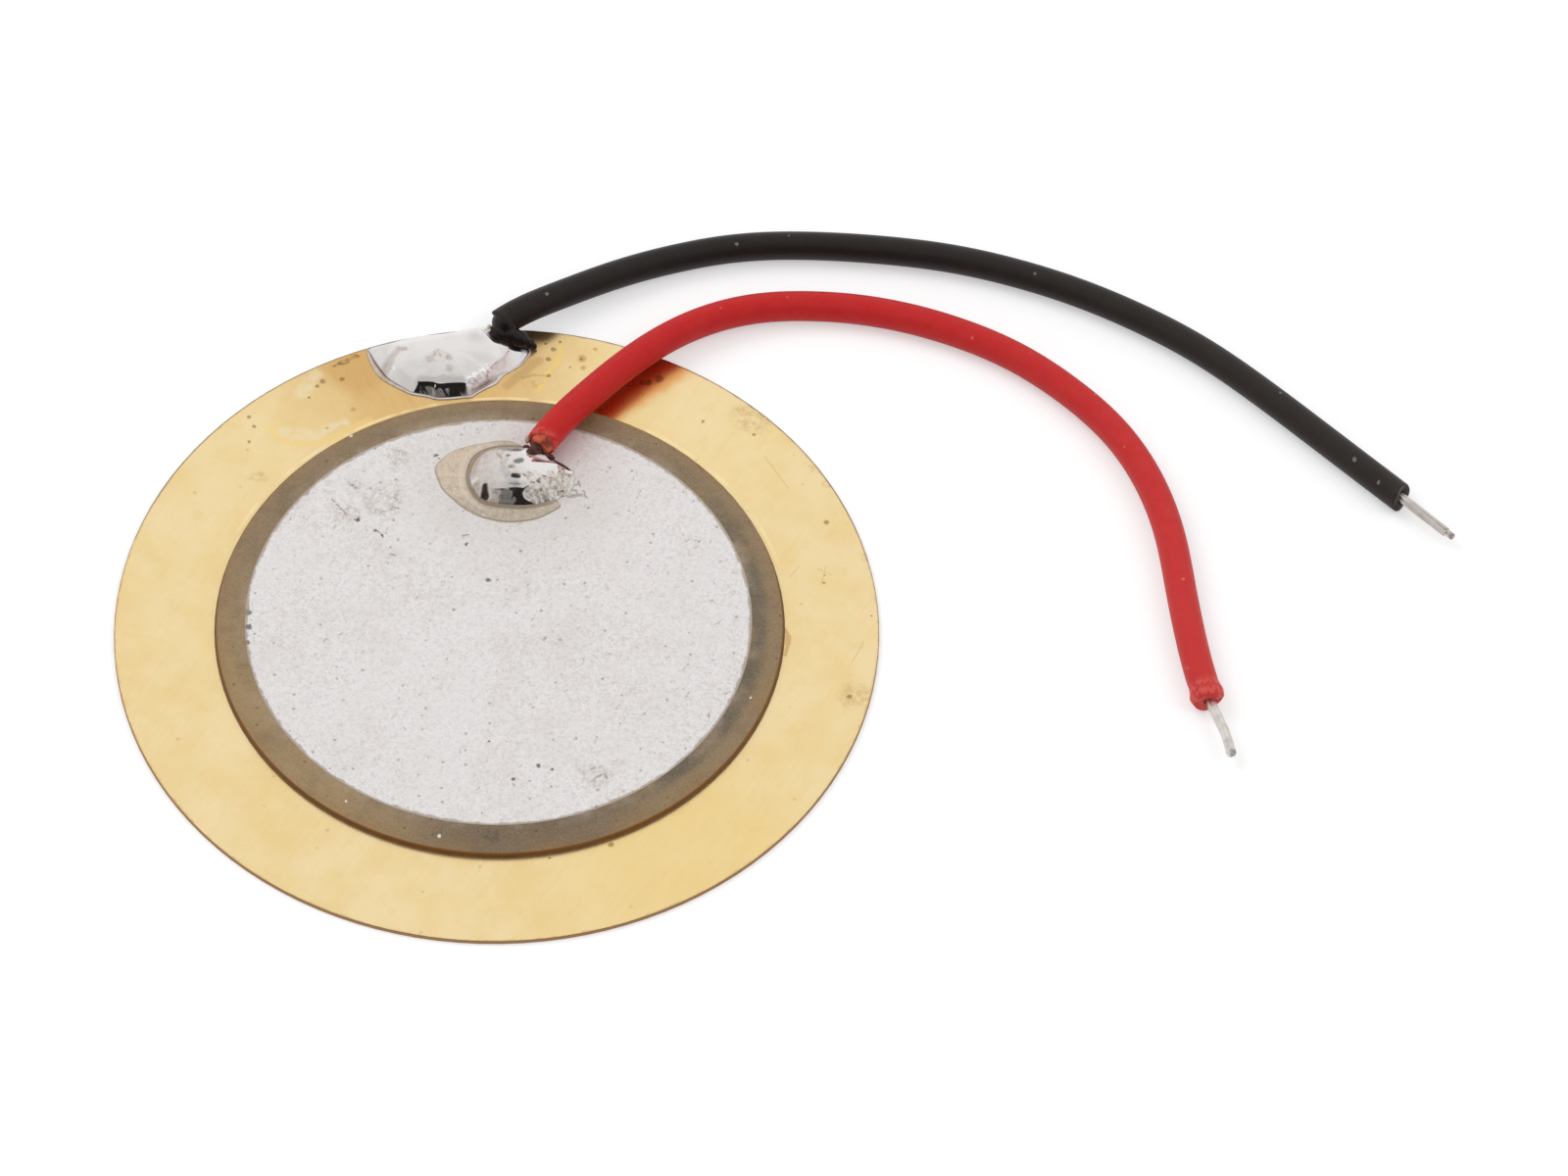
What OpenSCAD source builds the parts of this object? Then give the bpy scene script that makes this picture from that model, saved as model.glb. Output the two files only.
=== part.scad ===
// Piezo disc with two soldered leads.
// A ceramic disc with silver films on both faces is glued to a thin round brass plate. The black
// lead is soldered to the plate at its far rim, and the red lead to the upper silver film.
// Origin: centre of the plate's underside, which lies on the table. +Z is up, and the leads
// leave the disc towards +X. All sizes are in millimetres.

/* [Brass plate] */
// Diameter of the plate
plate_d = 27; // [26.5:0.5:28]
// Thickness of the plate
plate_t = 0.15; // [0.1:0.01:0.2]
// Radius of the upper edge, rolled over by the blanking die
edge_roll = 0.04; // [0.01:0.005:0.04]

/* [Ceramic disc] */
// Diameter of the ceramic
ceramic_d = 20; // [19:0.1:20.5]
// Thickness of the ceramic
ceramic_t = 0.2; // [0.15:0.01:0.25]
// Distance of the ceramic's centre from the plate's centre, along X
ceramic_x = 0.1; // [-0.2:0.05:0.2]
// Distance of the ceramic's centre from the plate's centre, along Y
ceramic_y = 0.05; // [-0.2:0.05:0.2]
// Bevel of the ceramic's edges
ceramic_bevel = 0.02; // [0.01:0.005:0.03]
// Thickness of the glue under the ceramic
bond_t = 0.02; // [0.01:0.005:0.03]
// Size of the glue fillet squeezed out round the ceramic
bond_fillet = 0.07; // [0.04:0.01:0.1]

/* [Silver films] */
// Diameter of the upper film, which leaves a bare ceramic margin
upper_film_d = 17.9; // [17:0.1:18.4]
// Distance of the upper film's centre from the plate's centre, along X
upper_film_x = 0.05; // [-0.2:0.05:0.2]
// Distance of the upper film's centre from the plate's centre, along Y
upper_film_y = 0.2; // [-0.2:0.05:0.2]
// Thickness of each film
film_t = 0.01; // [0.008:0.001:0.015]

/* [Solder joints] */
// Direction of the rim joint from the plate's centre, in degrees from +X
rim_joint_angle = 100; // [97:1:108]
// Height of the solder on the plate's rim
rim_solder_h = 0.8; // [0.6:0.05:0.9]
// Height of the solder on the upper film
film_solder_h = 0.85; // [0.7:0.05:0.9]
// Thickness of the flux residue round the solder on the film
flux_t = 0.04; // [0.02:0.01:0.06]

/* [Leads] */
// Outer diameter of the red lead
red_d = 1.1; // [0.9:0.05:1.2]
// Outer diameter of the black lead
black_d = 1.05; // [0.9:0.05:1.2]
// Diameter of the tinned conductor in each lead
conductor_d = 0.32; // [0.25:0.01:0.4]

/* [Hidden] */
$fn = 96;

plate_r = plate_d / 2;
ceramic_r = ceramic_d / 2;
ceramic_z = plate_t + bond_t + film_t;
film_z = ceramic_z + ceramic_t;
top_z = film_z + film_t;

// Solder on the rim. Its outline is drawn looking down, in a frame whose origin is the point of
// the rim in the joint's direction, with X along the rim and Y outwards. The front of the
// outline is a free curve, and the back follows the rim.
solder_setback = 0.05;
rim_solder_front = [[-3.05, -0.55], [-3, -1.1], [-2.85, -1.55], [-2.55, -2], [-2.05, -2.45],
    [-1.7, -2.7], [-1.1, -2.95], [-0.7, -3.1], [0.15, -3.15], [0.45, -3.15], [0.75, -2.95],
    [1.4, -2.65], [1.7, -2.35], [2.05, -2.15], [2.45, -1.9], [2.7, -1.6], [2.85, -1.3],
    [2.75, -0.9], [2.3, -0.5]];
rim_solder_peak = [-0.2, -1.4];
rim_solder_from = -3;
rim_solder_to = 1.8;

// Solder on the film, and the flux round it, as outlines about the joint's centre. The centre
// lies this far along X from the film's centre, and this far in from the film's far edge.
film_joint_x = 0.45;
film_joint_inset = 2.65;
film_joint = [upper_film_x + film_joint_x, upper_film_y + upper_film_d / 2 - film_joint_inset];
film_solder_outline = [[-1.85, 0], [-1.65, -0.65], [-1.1, -1.15], [-0.2, -1.35], [0.7, -1.25],
    [1.6, -0.85], [2, -0.3], [1.9, 0.35], [1.3, 0.7], [0.55, 1.1], [-0.2, 1.35],
    [-1.05, 1.25], [-1.65, 0.8]];
film_solder_peak = [-0.1, 0];
flux_outline = [[-2.95, 0.3], [-2.6, -0.75], [-1.75, -1.7], [-0.65, -2.05], [0.5, -1.95],
    [1.4, -1.5], [1.5, -1.1], [0.9, -0.4], [0.6, 0.9], [-0.3, 1.6], [-1.2, 1.5], [-2.5, 1]];

// Shape of the mounds: steps along each outline span, along the finer rim outline and along the
// rim, rings up the slope, and the exponents that make a blunt crown above a steep foot.
// Outlines run anticlockwise.
outline_steps = 4;
front_steps = 3;
rim_steps = 12;
mound_rings = 12;
crown = 2.4;
foot = 0.8;

// Melted end of the black insulation, which ran down onto the rim solder: its outline about the
// insulation's near end, its crown and its height above the plate.
melt_outline = [[-0.6, -0.35], [-0.3, -0.85], [0.4, -1.05], [1, -1], [1.2, -0.6],
    [0.75, 0], [0.3, 0.15], [-0.3, 0.1]];
melt_peak = [0.05, -0.35];
melt_h = 0.85;

// Routes of the leads. Each point is [x, y, share of the lead's starting height that is left],
// so that a share of 0 lies on the table. The first points run inside the solder, the sleeve
// begins at the point numbered 2 and ends one or two points before the last, and the rest is
// the tinned tip.
sides = 8;
sleeve_start = 2;
black_tip_points = 1;
black_lift = 0.22;
black_route = [[-1.7, 12.3, 0.2], [-1, 12.75, 0.6],
    [-0.4, 13.2, 1], [1.6, 14.6, 0.75], [3.75, 15.85, 0.25], [6.05, 16.8, 0], [8.4, 17.35, 0],
    [10.85, 17.5, 0], [13.35, 17.4, 0], [15.8, 17.1, 0], [18.2, 16.5, 0], [20.5, 15.65, 0],
    [22.7, 14.55, 0], [24.75, 13.25, 0], [26.65, 11.7, 0], [28.5, 10, 0], [30.3, 8.3, 0],
    [32.05, 6.65, 0], [33.85, 4.95, 0]];
red_tip_points = 2;
red_lift = 0.11;
red_route = [[0.6, 6.6, 0.35], [1, 7.2, 0.75],
    [1.35, 7.75, 1], [2.8, 9.8, 0.9], [4.4, 11.65, 0.7], [6.3, 13.3, 0.4], [8.55, 14.35, 0.15],
    [11, 14.65, 0], [13.5, 14.4, 0], [15.9, 13.7, 0], [18.15, 12.6, 0], [20.1, 11.1, 0],
    [21.8, 9.25, 0], [23, 7.1, 0], [23.75, 4.7, 0], [24.15, 2.2, 0], [24.55, -0.25, 0],
    [25.15, -2.65, 0], [25.65, -4, 0], [25.9, -5.05, 0]];

// Radii of the plate and of the upper film that the two routes are drawn for.
black_route_r = 13.5;
red_route_r = 8.95;

// A lead's axis in space. It starts above the surface that it is soldered to by its radius and
// a small lift, and it moves along Y with the joint when the plate or the film is resized.
function lead_axis(route, d, surface_z, lift, shift_y) =
    [for (p = route) [p.x, p.y + shift_y, d / 2 + p.z * (surface_z + lift)]];
black_axis = lead_axis(black_route, black_d, plate_t, black_lift, plate_r - black_route_r);
red_axis = lead_axis(red_route, red_d, top_z, red_lift, upper_film_d / 2 - red_route_r);

// Smooth curve through points, as a Catmull-Rom spline. An open curve ends at its end points.
function spline_point(a, b, c, d, t) =
    b + (c - a) * t / 2 + (2 * a - 5 * b + 4 * c - d) * t * t / 2
    + (3 * b - a - 3 * c + d) * t * t * t / 2;
function closed_curve(p, steps) =
    let (n = len(p))
    [for (i = [0:n - 1], k = [0:steps - 1])
        spline_point(p[(i + n - 1) % n], p[i], p[(i + 1) % n], p[(i + 2) % n], k / steps)];
function open_curve(p, steps) =
    let (n = len(p))
    [for (i = [0:n - 2], k = [0:steps - 1])
        spline_point(p[max(i - 1, 0)], p[i], p[i + 1], p[min(i + 2, n - 1)], k / steps)];

// A mound on a flat base: rings between its outline and its peak, and a fan below them.
module mound(outline, peak, height) {
    n = len(outline);
    rings = [for (k = [0:mound_rings - 1], p = outline)
        let (t = 1 - k / mound_rings, q = peak + (p - peak) * t)
        [q.x, q.y, height * pow(1 - pow(t, crown), foot)]];
    top = len(rings);
    middle = top + 1;
    polyhedron(
        points = concat(rings, [[peak.x, peak.y, height], [peak.x, peak.y, 0]]),
        faces = concat(
            [for (i = [0:n - 1]) [i, (i + 1) % n, middle]],
            [for (k = [0:mound_rings - 2], i = [0:n - 1])
                let (a = k * n + i, b = k * n + (i + 1) % n) each [[a, a + n, b], [b, a + n, b + n]]],
            [for (i = [0:n - 1]) [top - n + i, top, top - n + (i + 1) % n]]));
}

// Rings of a tube that follows an axis, and the skin between them.
function unit(v) = v / norm(v);
function heading(axis, i) = unit(axis[min(i + 1, len(axis) - 1)] - axis[max(i - 1, 0)]);
function tube_rings(axis, r, first, last) =
    [for (i = [first:last])
        let (along = heading(axis, i), side = unit(cross(along, [0, 0, 1])), up = cross(side, along))
        for (k = [0:sides - 1]) axis[i] + r * (side * sin(360 * k / sides) + up * cos(360 * k / sides))];
function tube_skin(rings, start, inside) =
    [for (i = [0:rings - 2], k = [0:sides - 1])
        let (a = start + i * sides + k, b = start + i * sides + (k + 1) % sides)
        each (inside ? [[a, b, a + sides], [b, b + sides, a + sides]]
                     : [[a, a + sides, b], [b, a + sides, b + sides]])];

// A solid rod along the part of an axis from its first to its last numbered point.
module rod(axis, r, first, last) {
    rings = last - first + 1;
    end = (rings - 1) * sides;
    polyhedron(
        points = tube_rings(axis, r, first, last),
        faces = concat(
            tube_skin(rings, 0, false),
            [[for (k = [0:sides - 1]) k]],
            [[for (k = [0:sides - 1]) end + sides - 1 - k]]));
}

// A hollow tube along the same part of an axis.
module tube(axis, r, bore_r, first, last) {
    rings = last - first + 1;
    inner = rings * sides;
    end = (rings - 1) * sides;
    polyhedron(
        points = concat(tube_rings(axis, r, first, last), tube_rings(axis, bore_r, first, last)),
        faces = concat(
            tube_skin(rings, 0, false),
            tube_skin(rings, inner, true),
            [for (k = [0:sides - 1]) let (n = (k + 1) % sides)
                each [[k, n, inner + k], [n, inner + n, inner + k],
                      [end + k, inner + end + k, end + n],
                      [end + n, inner + end + k, inner + end + n]]]));
}

module disc(r, t, x, y, z) {
    translate([x, y, z]) cylinder(r = r, h = t);
}

// Rim solder without the hollow for its wire.
module rim_mound() {
    r = plate_r - solder_setback;
    step = (rim_solder_to - rim_solder_from) / rim_steps;
    back = [for (k = [0:rim_steps]) let (u = rim_solder_to - step * k) [u, sqrt(r * r - u * u) - plate_r]];
    front = open_curve(concat([back[rim_steps]], rim_solder_front, [back[0]]), front_steps);
    rotate([0, 0, rim_joint_angle - 90]) translate([0, plate_r, plate_t])
        mound(concat(front, [for (k = [0:rim_steps - 1]) back[k]]), rim_solder_peak, rim_solder_h);
}

// Film solder without the hollow for its wire.
module film_mound() {
    translate([film_joint.x, film_joint.y, top_z])
        mound(closed_curve(film_solder_outline, outline_steps), film_solder_peak, film_solder_h);
}

module black_wire() {
    rod(black_axis, conductor_d / 2, 0, len(black_axis) - 1);
}

module red_wire() {
    rod(red_axis, conductor_d / 2, 0, len(red_axis) - 1);
}

module brass_plate() {
    color("#e8cf8c") rotate_extrude()
        polygon(concat([[0, 0], [plate_r, 0]],
            [for (a = [0:30:90]) [plate_r - edge_roll + edge_roll * cos(a),
                                  plate_t - edge_roll + edge_roll * sin(a)]],
            [[0, plate_t]]));
}

module bond_layer() {
    color("#8a6a3c") translate([ceramic_x, ceramic_y, plate_t]) rotate_extrude()
        polygon(concat([[0, 0]],
            [for (a = [0:30:90]) [ceramic_r + bond_fillet * (1 - sin(a)), bond_fillet * (1 - cos(a))]],
            [[ceramic_r, bond_t], [0, bond_t]]));
}

module lower_electrode() {
    color("#cfcbc6") disc(ceramic_r, film_t, ceramic_x, ceramic_y, plate_t + bond_t);
}

module piezo_ceramic() {
    color("#8c7d64") translate([ceramic_x, ceramic_y, ceramic_z]) rotate_extrude()
        polygon([[0, 0], [ceramic_r, 0], [ceramic_r, ceramic_t - ceramic_bevel],
            [ceramic_r - ceramic_bevel, ceramic_t], [0, ceramic_t]]);
}

module upper_electrode() {
    color("#e2dddc") disc(upper_film_d / 2, film_t, upper_film_x, upper_film_y, film_z);
}

module rim_solder() {
    color("#d8d8da") difference() {
        rim_mound();
        black_wire();
    }
}

module electrode_solder() {
    color("#d8d8da") difference() {
        film_mound();
        red_wire();
    }
}

module flux_residue() {
    color("#cfc4b0") difference() {
        translate([film_joint.x, film_joint.y, top_z]) linear_extrude(flux_t)
            polygon(closed_curve(flux_outline, outline_steps));
        film_mound();
    }
}

module black_conductor() {
    color("#dcd8d2") black_wire();
}

module black_insulation() {
    last = len(black_axis) - 1 - black_tip_points;
    near_end = black_axis[sleeve_start];
    color("#2b2826") {
        tube(black_axis, black_d / 2, conductor_d / 2, sleeve_start, last);
        difference() {
            translate([near_end.x, near_end.y, plate_t])
                mound(closed_curve(melt_outline, outline_steps), melt_peak, melt_h);
            rim_mound();
            black_wire();
            rod(black_axis, black_d / 2, sleeve_start, last);
        }
    }
}

module red_conductor() {
    color("#dcd8d2") red_wire();
}

module red_insulation() {
    color("#c52f33") tube(red_axis, red_d / 2, conductor_d / 2, sleeve_start,
        len(red_axis) - 1 - red_tip_points);
}

brass_plate();
bond_layer();
lower_electrode();
piezo_ceramic();
upper_electrode();
rim_solder();
electrode_solder();
flux_residue();
black_conductor();
black_insulation();
red_conductor();
red_insulation();
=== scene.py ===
# Looks of a piezo disc: a silvered ceramic disc glued to a thin brass plate, with a black and a red
# lead soldered on. The frame is the CAD model's: +Z up, the plate's underside at z = 0.
# Shapes and marks are worked out in millimetres, and MM turns them into metres.
import math

import bpy
import numpy as np
from mathutils import Matrix, Vector, noise


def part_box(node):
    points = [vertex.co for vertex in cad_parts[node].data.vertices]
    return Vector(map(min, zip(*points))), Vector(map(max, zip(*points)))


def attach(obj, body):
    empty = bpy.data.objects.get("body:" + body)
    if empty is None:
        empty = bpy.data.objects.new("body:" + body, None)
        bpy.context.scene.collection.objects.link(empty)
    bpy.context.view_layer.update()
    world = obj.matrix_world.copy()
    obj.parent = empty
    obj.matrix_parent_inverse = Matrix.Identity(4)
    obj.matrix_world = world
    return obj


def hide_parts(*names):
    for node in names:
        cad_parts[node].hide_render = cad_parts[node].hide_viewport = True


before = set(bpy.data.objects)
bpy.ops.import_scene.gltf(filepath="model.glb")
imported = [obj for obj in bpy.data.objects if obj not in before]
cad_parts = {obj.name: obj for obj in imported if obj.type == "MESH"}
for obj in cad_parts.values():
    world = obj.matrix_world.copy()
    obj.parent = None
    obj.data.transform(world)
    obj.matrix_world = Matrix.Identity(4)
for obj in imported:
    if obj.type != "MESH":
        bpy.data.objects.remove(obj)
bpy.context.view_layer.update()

MM = 0.001


def node_box(node):
    """A CAD node's lowest and highest corners, in millimetres."""
    low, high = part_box(node)
    return np.array(low) / MM, np.array(high) / MM


plate_low, plate_high = node_box("brass_plate")
ceramic_low, ceramic_high = node_box("piezo_ceramic")
film_low, film_high = node_box("upper_electrode")
PLATE_TOP = plate_high[2]
PLATE_R = (plate_high[0] - plate_low[0]) / 2
CERAMIC_MID = (ceramic_low + ceramic_high) / 2
CERAMIC_R = (ceramic_high[0] - ceramic_low[0]) / 2
FILM_TOP = film_high[2]
FILM_MID = (film_low + film_high) / 2
FILM_R = (film_high[0] - film_low[0]) / 2

# ---------------------------------------------------------------------------------------------
# Leads: the routes that the CAD model sweeps its tubes along. Each point is [x, y, share of the
# lead's starting height that is left]. The sleeve begins at the point numbered SLEEVE_START.
SLEEVE_START = 2
BLACK_D = 1.05
BLACK_LIFT = 0.22
BLACK_TIP_POINTS = 1
BLACK_ROUTE = [[-1.7, 12.3, 0.2], [-1, 12.75, 0.6],
    [-0.4, 13.2, 1], [1.6, 14.6, 0.75], [3.75, 15.85, 0.25], [6.05, 16.8, 0], [8.4, 17.35, 0],
    [10.85, 17.5, 0], [13.35, 17.4, 0], [15.8, 17.1, 0], [18.2, 16.5, 0], [20.5, 15.65, 0],
    [22.7, 14.55, 0], [24.75, 13.25, 0], [26.65, 11.7, 0], [28.5, 10, 0], [30.3, 8.3, 0],
    [32.05, 6.65, 0], [33.85, 4.95, 0]]
RED_D = 1.1
RED_LIFT = 0.11
RED_TIP_POINTS = 2
RED_ROUTE = [[0.6, 6.6, 0.35], [1, 7.2, 0.75],
    [1.35, 7.75, 1], [2.8, 9.8, 0.9], [4.4, 11.65, 0.7], [6.3, 13.3, 0.4], [8.55, 14.35, 0.15],
    [11, 14.65, 0], [13.5, 14.4, 0], [15.9, 13.7, 0], [18.15, 12.6, 0], [20.1, 11.1, 0],
    [21.8, 9.25, 0], [23, 7.1, 0], [23.75, 4.7, 0], [24.15, 2.2, 0], [24.55, -0.25, 0],
    [25.15, -2.65, 0], [25.65, -4, 0], [25.9, -5.05, 0]]

# Solder on the plate's rim, drawn about the point of the rim in the joint's direction, with X
# along the rim and Y outwards. The front is a free curve and the back follows the rim.
RIM_ANGLE = 100
RIM_SETBACK = 0.05
RIM_FRONT = [[-3.05, -0.55], [-3, -1.1], [-2.85, -1.55], [-2.55, -2], [-2.05, -2.45], [-1.7, -2.7],
    [-1.1, -2.95], [-0.7, -3.1], [0.15, -3.15], [0.45, -3.15], [0.75, -2.95], [1.4, -2.65],
    [1.7, -2.35], [2.05, -2.15], [2.45, -1.9], [2.7, -1.6], [2.85, -1.3], [2.75, -0.9], [2.3, -0.5]]
RIM_BACK_FROM = 1.8
RIM_BACK_TO = -3
RIM_PEAK = [-0.2, -1.4]
RIM_H = 0.8

# Solder on the film, and the flux round it, drawn about the joint's centre.
FILM_JOINT = [FILM_MID[0] + 0.45, FILM_MID[1] + FILM_R - 2.65]
DOME_OUTLINE = [[-1.85, 0], [-1.65, -0.7], [-1.15, -1.2], [-0.2, -1.35], [0.7, -1.25],
    [1.6, -0.85], [2, -0.3], [1.9, 0.35], [1.33, 0.78], [0.6, 1.25], [-0.2, 1.38],
    [-1.05, 1.25], [-1.65, 0.8]]
DOME_PEAK = [-0.1, 0]
DOME_H = 0.85
FLUX_OUTLINE = [[-3, 0.45], [-2.85, -0.3], [-2.4, -1], [-1.6, -1.65], [-0.5, -2], [0.6, -1.87],
    [1.4, -1.4], [1.5, -1.1], [0.9, -0.4], [0.6, 0.9], [-0.3, 1.65], [-1.2, 1.55], [-2.35, 1.15]]


# ---------------------------------------------------------------------------------------------
# Node trees.
class Socket:
    """One value in a node tree. Arithmetic on it adds the maths nodes that work it out."""

    def __init__(self, tree, output):
        self.tree = tree
        self.output = output

    def maths(self, operation, *values):
        return self.tree.add("ShaderNodeMath", dict(enumerate(values)), operation=operation)

    def __add__(self, other):
        return self.maths("ADD", self, other)

    def __sub__(self, other):
        return self.maths("SUBTRACT", self, other)

    def __rsub__(self, other):
        return self.maths("SUBTRACT", other, self)

    def __mul__(self, other):
        return self.maths("MULTIPLY", self, other)

    def __truediv__(self, other):
        return self.maths("DIVIDE", self, other)

    __radd__ = __add__
    __rmul__ = __mul__

    def size(self):
        return self.maths("ABSOLUTE", self)


class Tree:
    """A node tree that is filled by add(), which takes a node's type, inputs and settings."""

    def __init__(self, tree):
        self.tree = tree

    def add(self, kind, inputs=(), out=0, **settings):
        node = self.tree.nodes.new(kind)
        for name, value in settings.items():
            setattr(node, name, value)
        for key, value in dict(inputs).items():
            if isinstance(value, Socket):
                self.tree.links.new(value.output, node.inputs[key])
            else:
                node.inputs[key].default_value = value
        return Socket(self, node.outputs[out])

    def vector(self, operation, a, b, out=0):
        """Vector maths on two vectors."""
        return self.add("ShaderNodeVectorMath", {0: a, 1: b}, out, operation=operation)

    def scaled(self, vector, by):
        """A vector times a number."""
        return self.add("ShaderNodeVectorMath", {0: vector, "Scale": by}, operation="SCALE")

    def part(self, vector, letter):
        """A vector's X, Y or Z."""
        return self.add("ShaderNodeSeparateXYZ", {0: vector}, letter)


class Finish(Tree):
    """A material: a Principled shader, and the fields that colour it, in millimetres."""

    def __init__(self, name, **constants):
        self.material = bpy.data.materials.new(name)
        self.material.use_nodes = True
        super().__init__(self.material.node_tree)
        self.shader = self.tree.nodes["Principled BSDF"]
        for socket, value in constants.items():
            self.shader.inputs[socket.replace("_", " ")].default_value = value
        place = self.add("ShaderNodeTexCoord", out="Object")
        self.place = self.scaled(place, 1 / MM)
        self.plan = self.product(self.place, (1, 1, 0))
        self.shade = None

    def product(self, a, b):
        return self.vector("MULTIPLY", a, b)

    def moved(self, a, b):
        return self.vector("ADD", a, b)

    def far_from(self, point, place=None):
        """Distance in plan from a point: its x and y, or a socket."""
        if not isinstance(point, Socket):
            point = (*point[:2], 0)
        return self.vector("DISTANCE", place or self.plan, point, "Value")

    def height(self):
        """How high each point lies."""
        return self.part(self.place, "Z")

    def north(self):
        """How far each point lies along Y."""
        return self.part(self.place, "Y")

    def kept(self, name):
        """A number that the mesh keeps at each point."""
        return self.add("ShaderNodeAttribute", out="Fac", attribute_name=name)

    def turned(self, degrees):
        """The place, turned about Z, so that streaks along Y lean."""
        inputs = {"Vector": self.place, "Rotation": (0, 0, math.radians(degrees))}
        return self.add("ShaderNodeMapping", inputs)

    def cloud(self, per_mm, detail=2, rough=0.5, place=None, out="Fac"):
        """Smooth noise with about per_mm lumps to the millimetre."""
        inputs = {"Vector": place or self.place, "Scale": per_mm, "Detail": detail, "Roughness": rough}
        return self.add("ShaderNodeTexNoise", inputs, out=out)

    def ramp(self, value, low, high):
        """0 below low, 1 above high and smooth between, or the other way round if low > high."""
        inputs = {"Value": value, "From Min": low, "From Max": high}
        return self.add("ShaderNodeMapRange", inputs, interpolation_type="SMOOTHSTEP")

    def mix(self, share, a, b):
        """Shade a where share is 0, and b where it is 1. Each is a socket or a screen colour."""
        a, b = (colour(*shade) if isinstance(shade, tuple) else shade for shade in (a, b))
        return self.add("ShaderNodeMix", {0: share, 6: a, 7: b}, out=2, data_type="RGBA")

    def coat(self, share, shade):
        """Lays a shade over the ones before it, where share is 1."""
        self.shade = self.mix(share, self.shade, shade)

    def shaken(self, by, per_mm):
        """The plan, pushed about by noise, which makes round marks ragged."""
        push = self.moved(self.cloud(per_mm, 2, 0.6, out="Color"), (-0.5, -0.5, -0.5))
        return self.moved(self.plan, self.product(push, (2 * by, 2 * by, 0)))

    def spots(self, marks, place=None):
        """1 inside round marks and 0 outside them."""
        nearest = None
        for x, y, radius in marks:
            away = self.far_from((x, y), place) / radius
            nearest = away if nearest is None else away.maths("MINIMUM", nearest, away)
        return self.ramp(nearest, 1.1, 0.5)

    def stroke(self, start, end, width, place=None):
        """1 along a straight stroke."""
        start = Vector((*start, 0))
        run = Vector((*end, 0)) - start
        from_start = self.moved(place or self.plan, tuple(-start))
        along = self.vector("DOT_PRODUCT", from_start, tuple(run / run.length_squared), "Value")
        nearest = self.scaled(tuple(run), self.add("ShaderNodeClamp", {0: along}))
        return self.ramp(self.far_from(nearest, from_start), width, width * 0.3)

    def strokes(self, lines, place=None):
        """1 along straight strokes and 0 beside them."""
        drawn = None
        for x0, y0, x1, y1, width in lines:
            line = self.stroke((x0, y0), (x1, y1), width, place)
            drawn = line if drawn is None else drawn.maths("MAXIMUM", drawn, line)
        return drawn

    def specks(self, per_mm, radius, share):
        """1 inside small round specks scattered over the surface, in that share of the cells."""
        inputs = {"Vector": self.shaken(radius, 2 / radius), "Scale": per_mm}
        cells = self.add("ShaderNodeTexVoronoi", inputs, out="Distance", voronoi_dimensions="2D")
        chance = self.add("ShaderNodeSeparateColor", {0: Socket(self, cells.output.node.outputs["Color"])})
        size = self.ramp(chance, 1 - share, 1) * (radius * per_mm)
        return self.ramp(cells - size, 0.03, -0.03) * self.ramp(size, 0, 0.01)

    def finish(self, rough, bump, bump_mm, **links):
        """Links what varies over the surface to the shader, and returns the material."""
        normal = self.add("ShaderNodeBump", {"Height": bump, "Distance": bump_mm * MM, "Strength": 1})
        links = {"Base Color": self.shade, "Roughness": rough, **links, "Normal": normal}
        for socket, value in links.items():
            self.tree.links.new(value.output, self.shader.inputs[socket.replace("_", " ")])
        return self.material


def colour(red, green, blue):
    """A screen colour, 0 to 255, as the linear colour that a shader takes."""
    def linear(part):
        part /= 255
        return part / 12.92 if part <= 0.04045 else ((part + 0.055) / 1.055) ** 2.4
    return linear(red), linear(green), linear(blue), 1


# ---------------------------------------------------------------------------------------------
# Finishes. A spot is (x, y, radius) and a stroke is (x, y, x, y, width), in millimetres.
HEAT_MIDDLE = (-3, 12)
BRASS_SPECKS = [(-9.3, 9.1, 0.09), (-9.1, 8.68, 0.1), (-9.25, 7.98, 0.08), (-6.75, 10.83, 0.13),
    (-6.05, 10.95, 0.12), (-6.95, 10.6, 0.1), (4.35, -9.25, 0.13), (2.25, -9.9, 0.07), (1.5, 12.62, 0.12),
    (1.33, 12.16, 0.12), (1.2, 12.89, 0.08), (1.71, 12.97, 0.07), (8.85, 8.97, 0.08), (7, 9.5, 0.08),
    (11.54, 5.09, 0.12), (11.51, 2.38, 0.07), (11.53, 2.72, 0.05), (13.2, 0.96, 0.06),
    (12.49, -2.6, 0.12), (5.36, 11.43, 0.2), (4.97, 11.23, 0.16), (4.74, 11.2, 0.13), (2.52, 12.2, 0.08),
    (1.38, 11.4, 0.09), (2.12, 11.82, 0.05), (-7.2, 10.07, 0.07), (-6.37, 11.55, 0.07)]
BRASS_STREAKS = [(1.8, 12.98, 1.72, 12.3, 0.12), (1.72, 12.3, 1.54, 11.95, 0.2),
    (1.54, 11.95, 1.35, 11.5, 0.16), (1.35, 11.5, 1.07, 10.77, 0.14)]
BRASS_STAINS = [(2.56, 12.23, 0.2), (2.6, 11.81, 0.13), (3, 12.67, 0.1), (-6.5, 8.7, 0.08),
    (-5.59, 9.58, 0.13)]
BRASS_SMUDGES = [(8.8, 9.8, 0.9), (12.7, -2.55, 0.7), (0.85, 11.02, 0.3), (-8.75, 6.4, 0.4),
    (12.95, 3.6, 0.3), (11.1, 7.5, 0.25), (11.6, 6.75, 0.25)]
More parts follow.
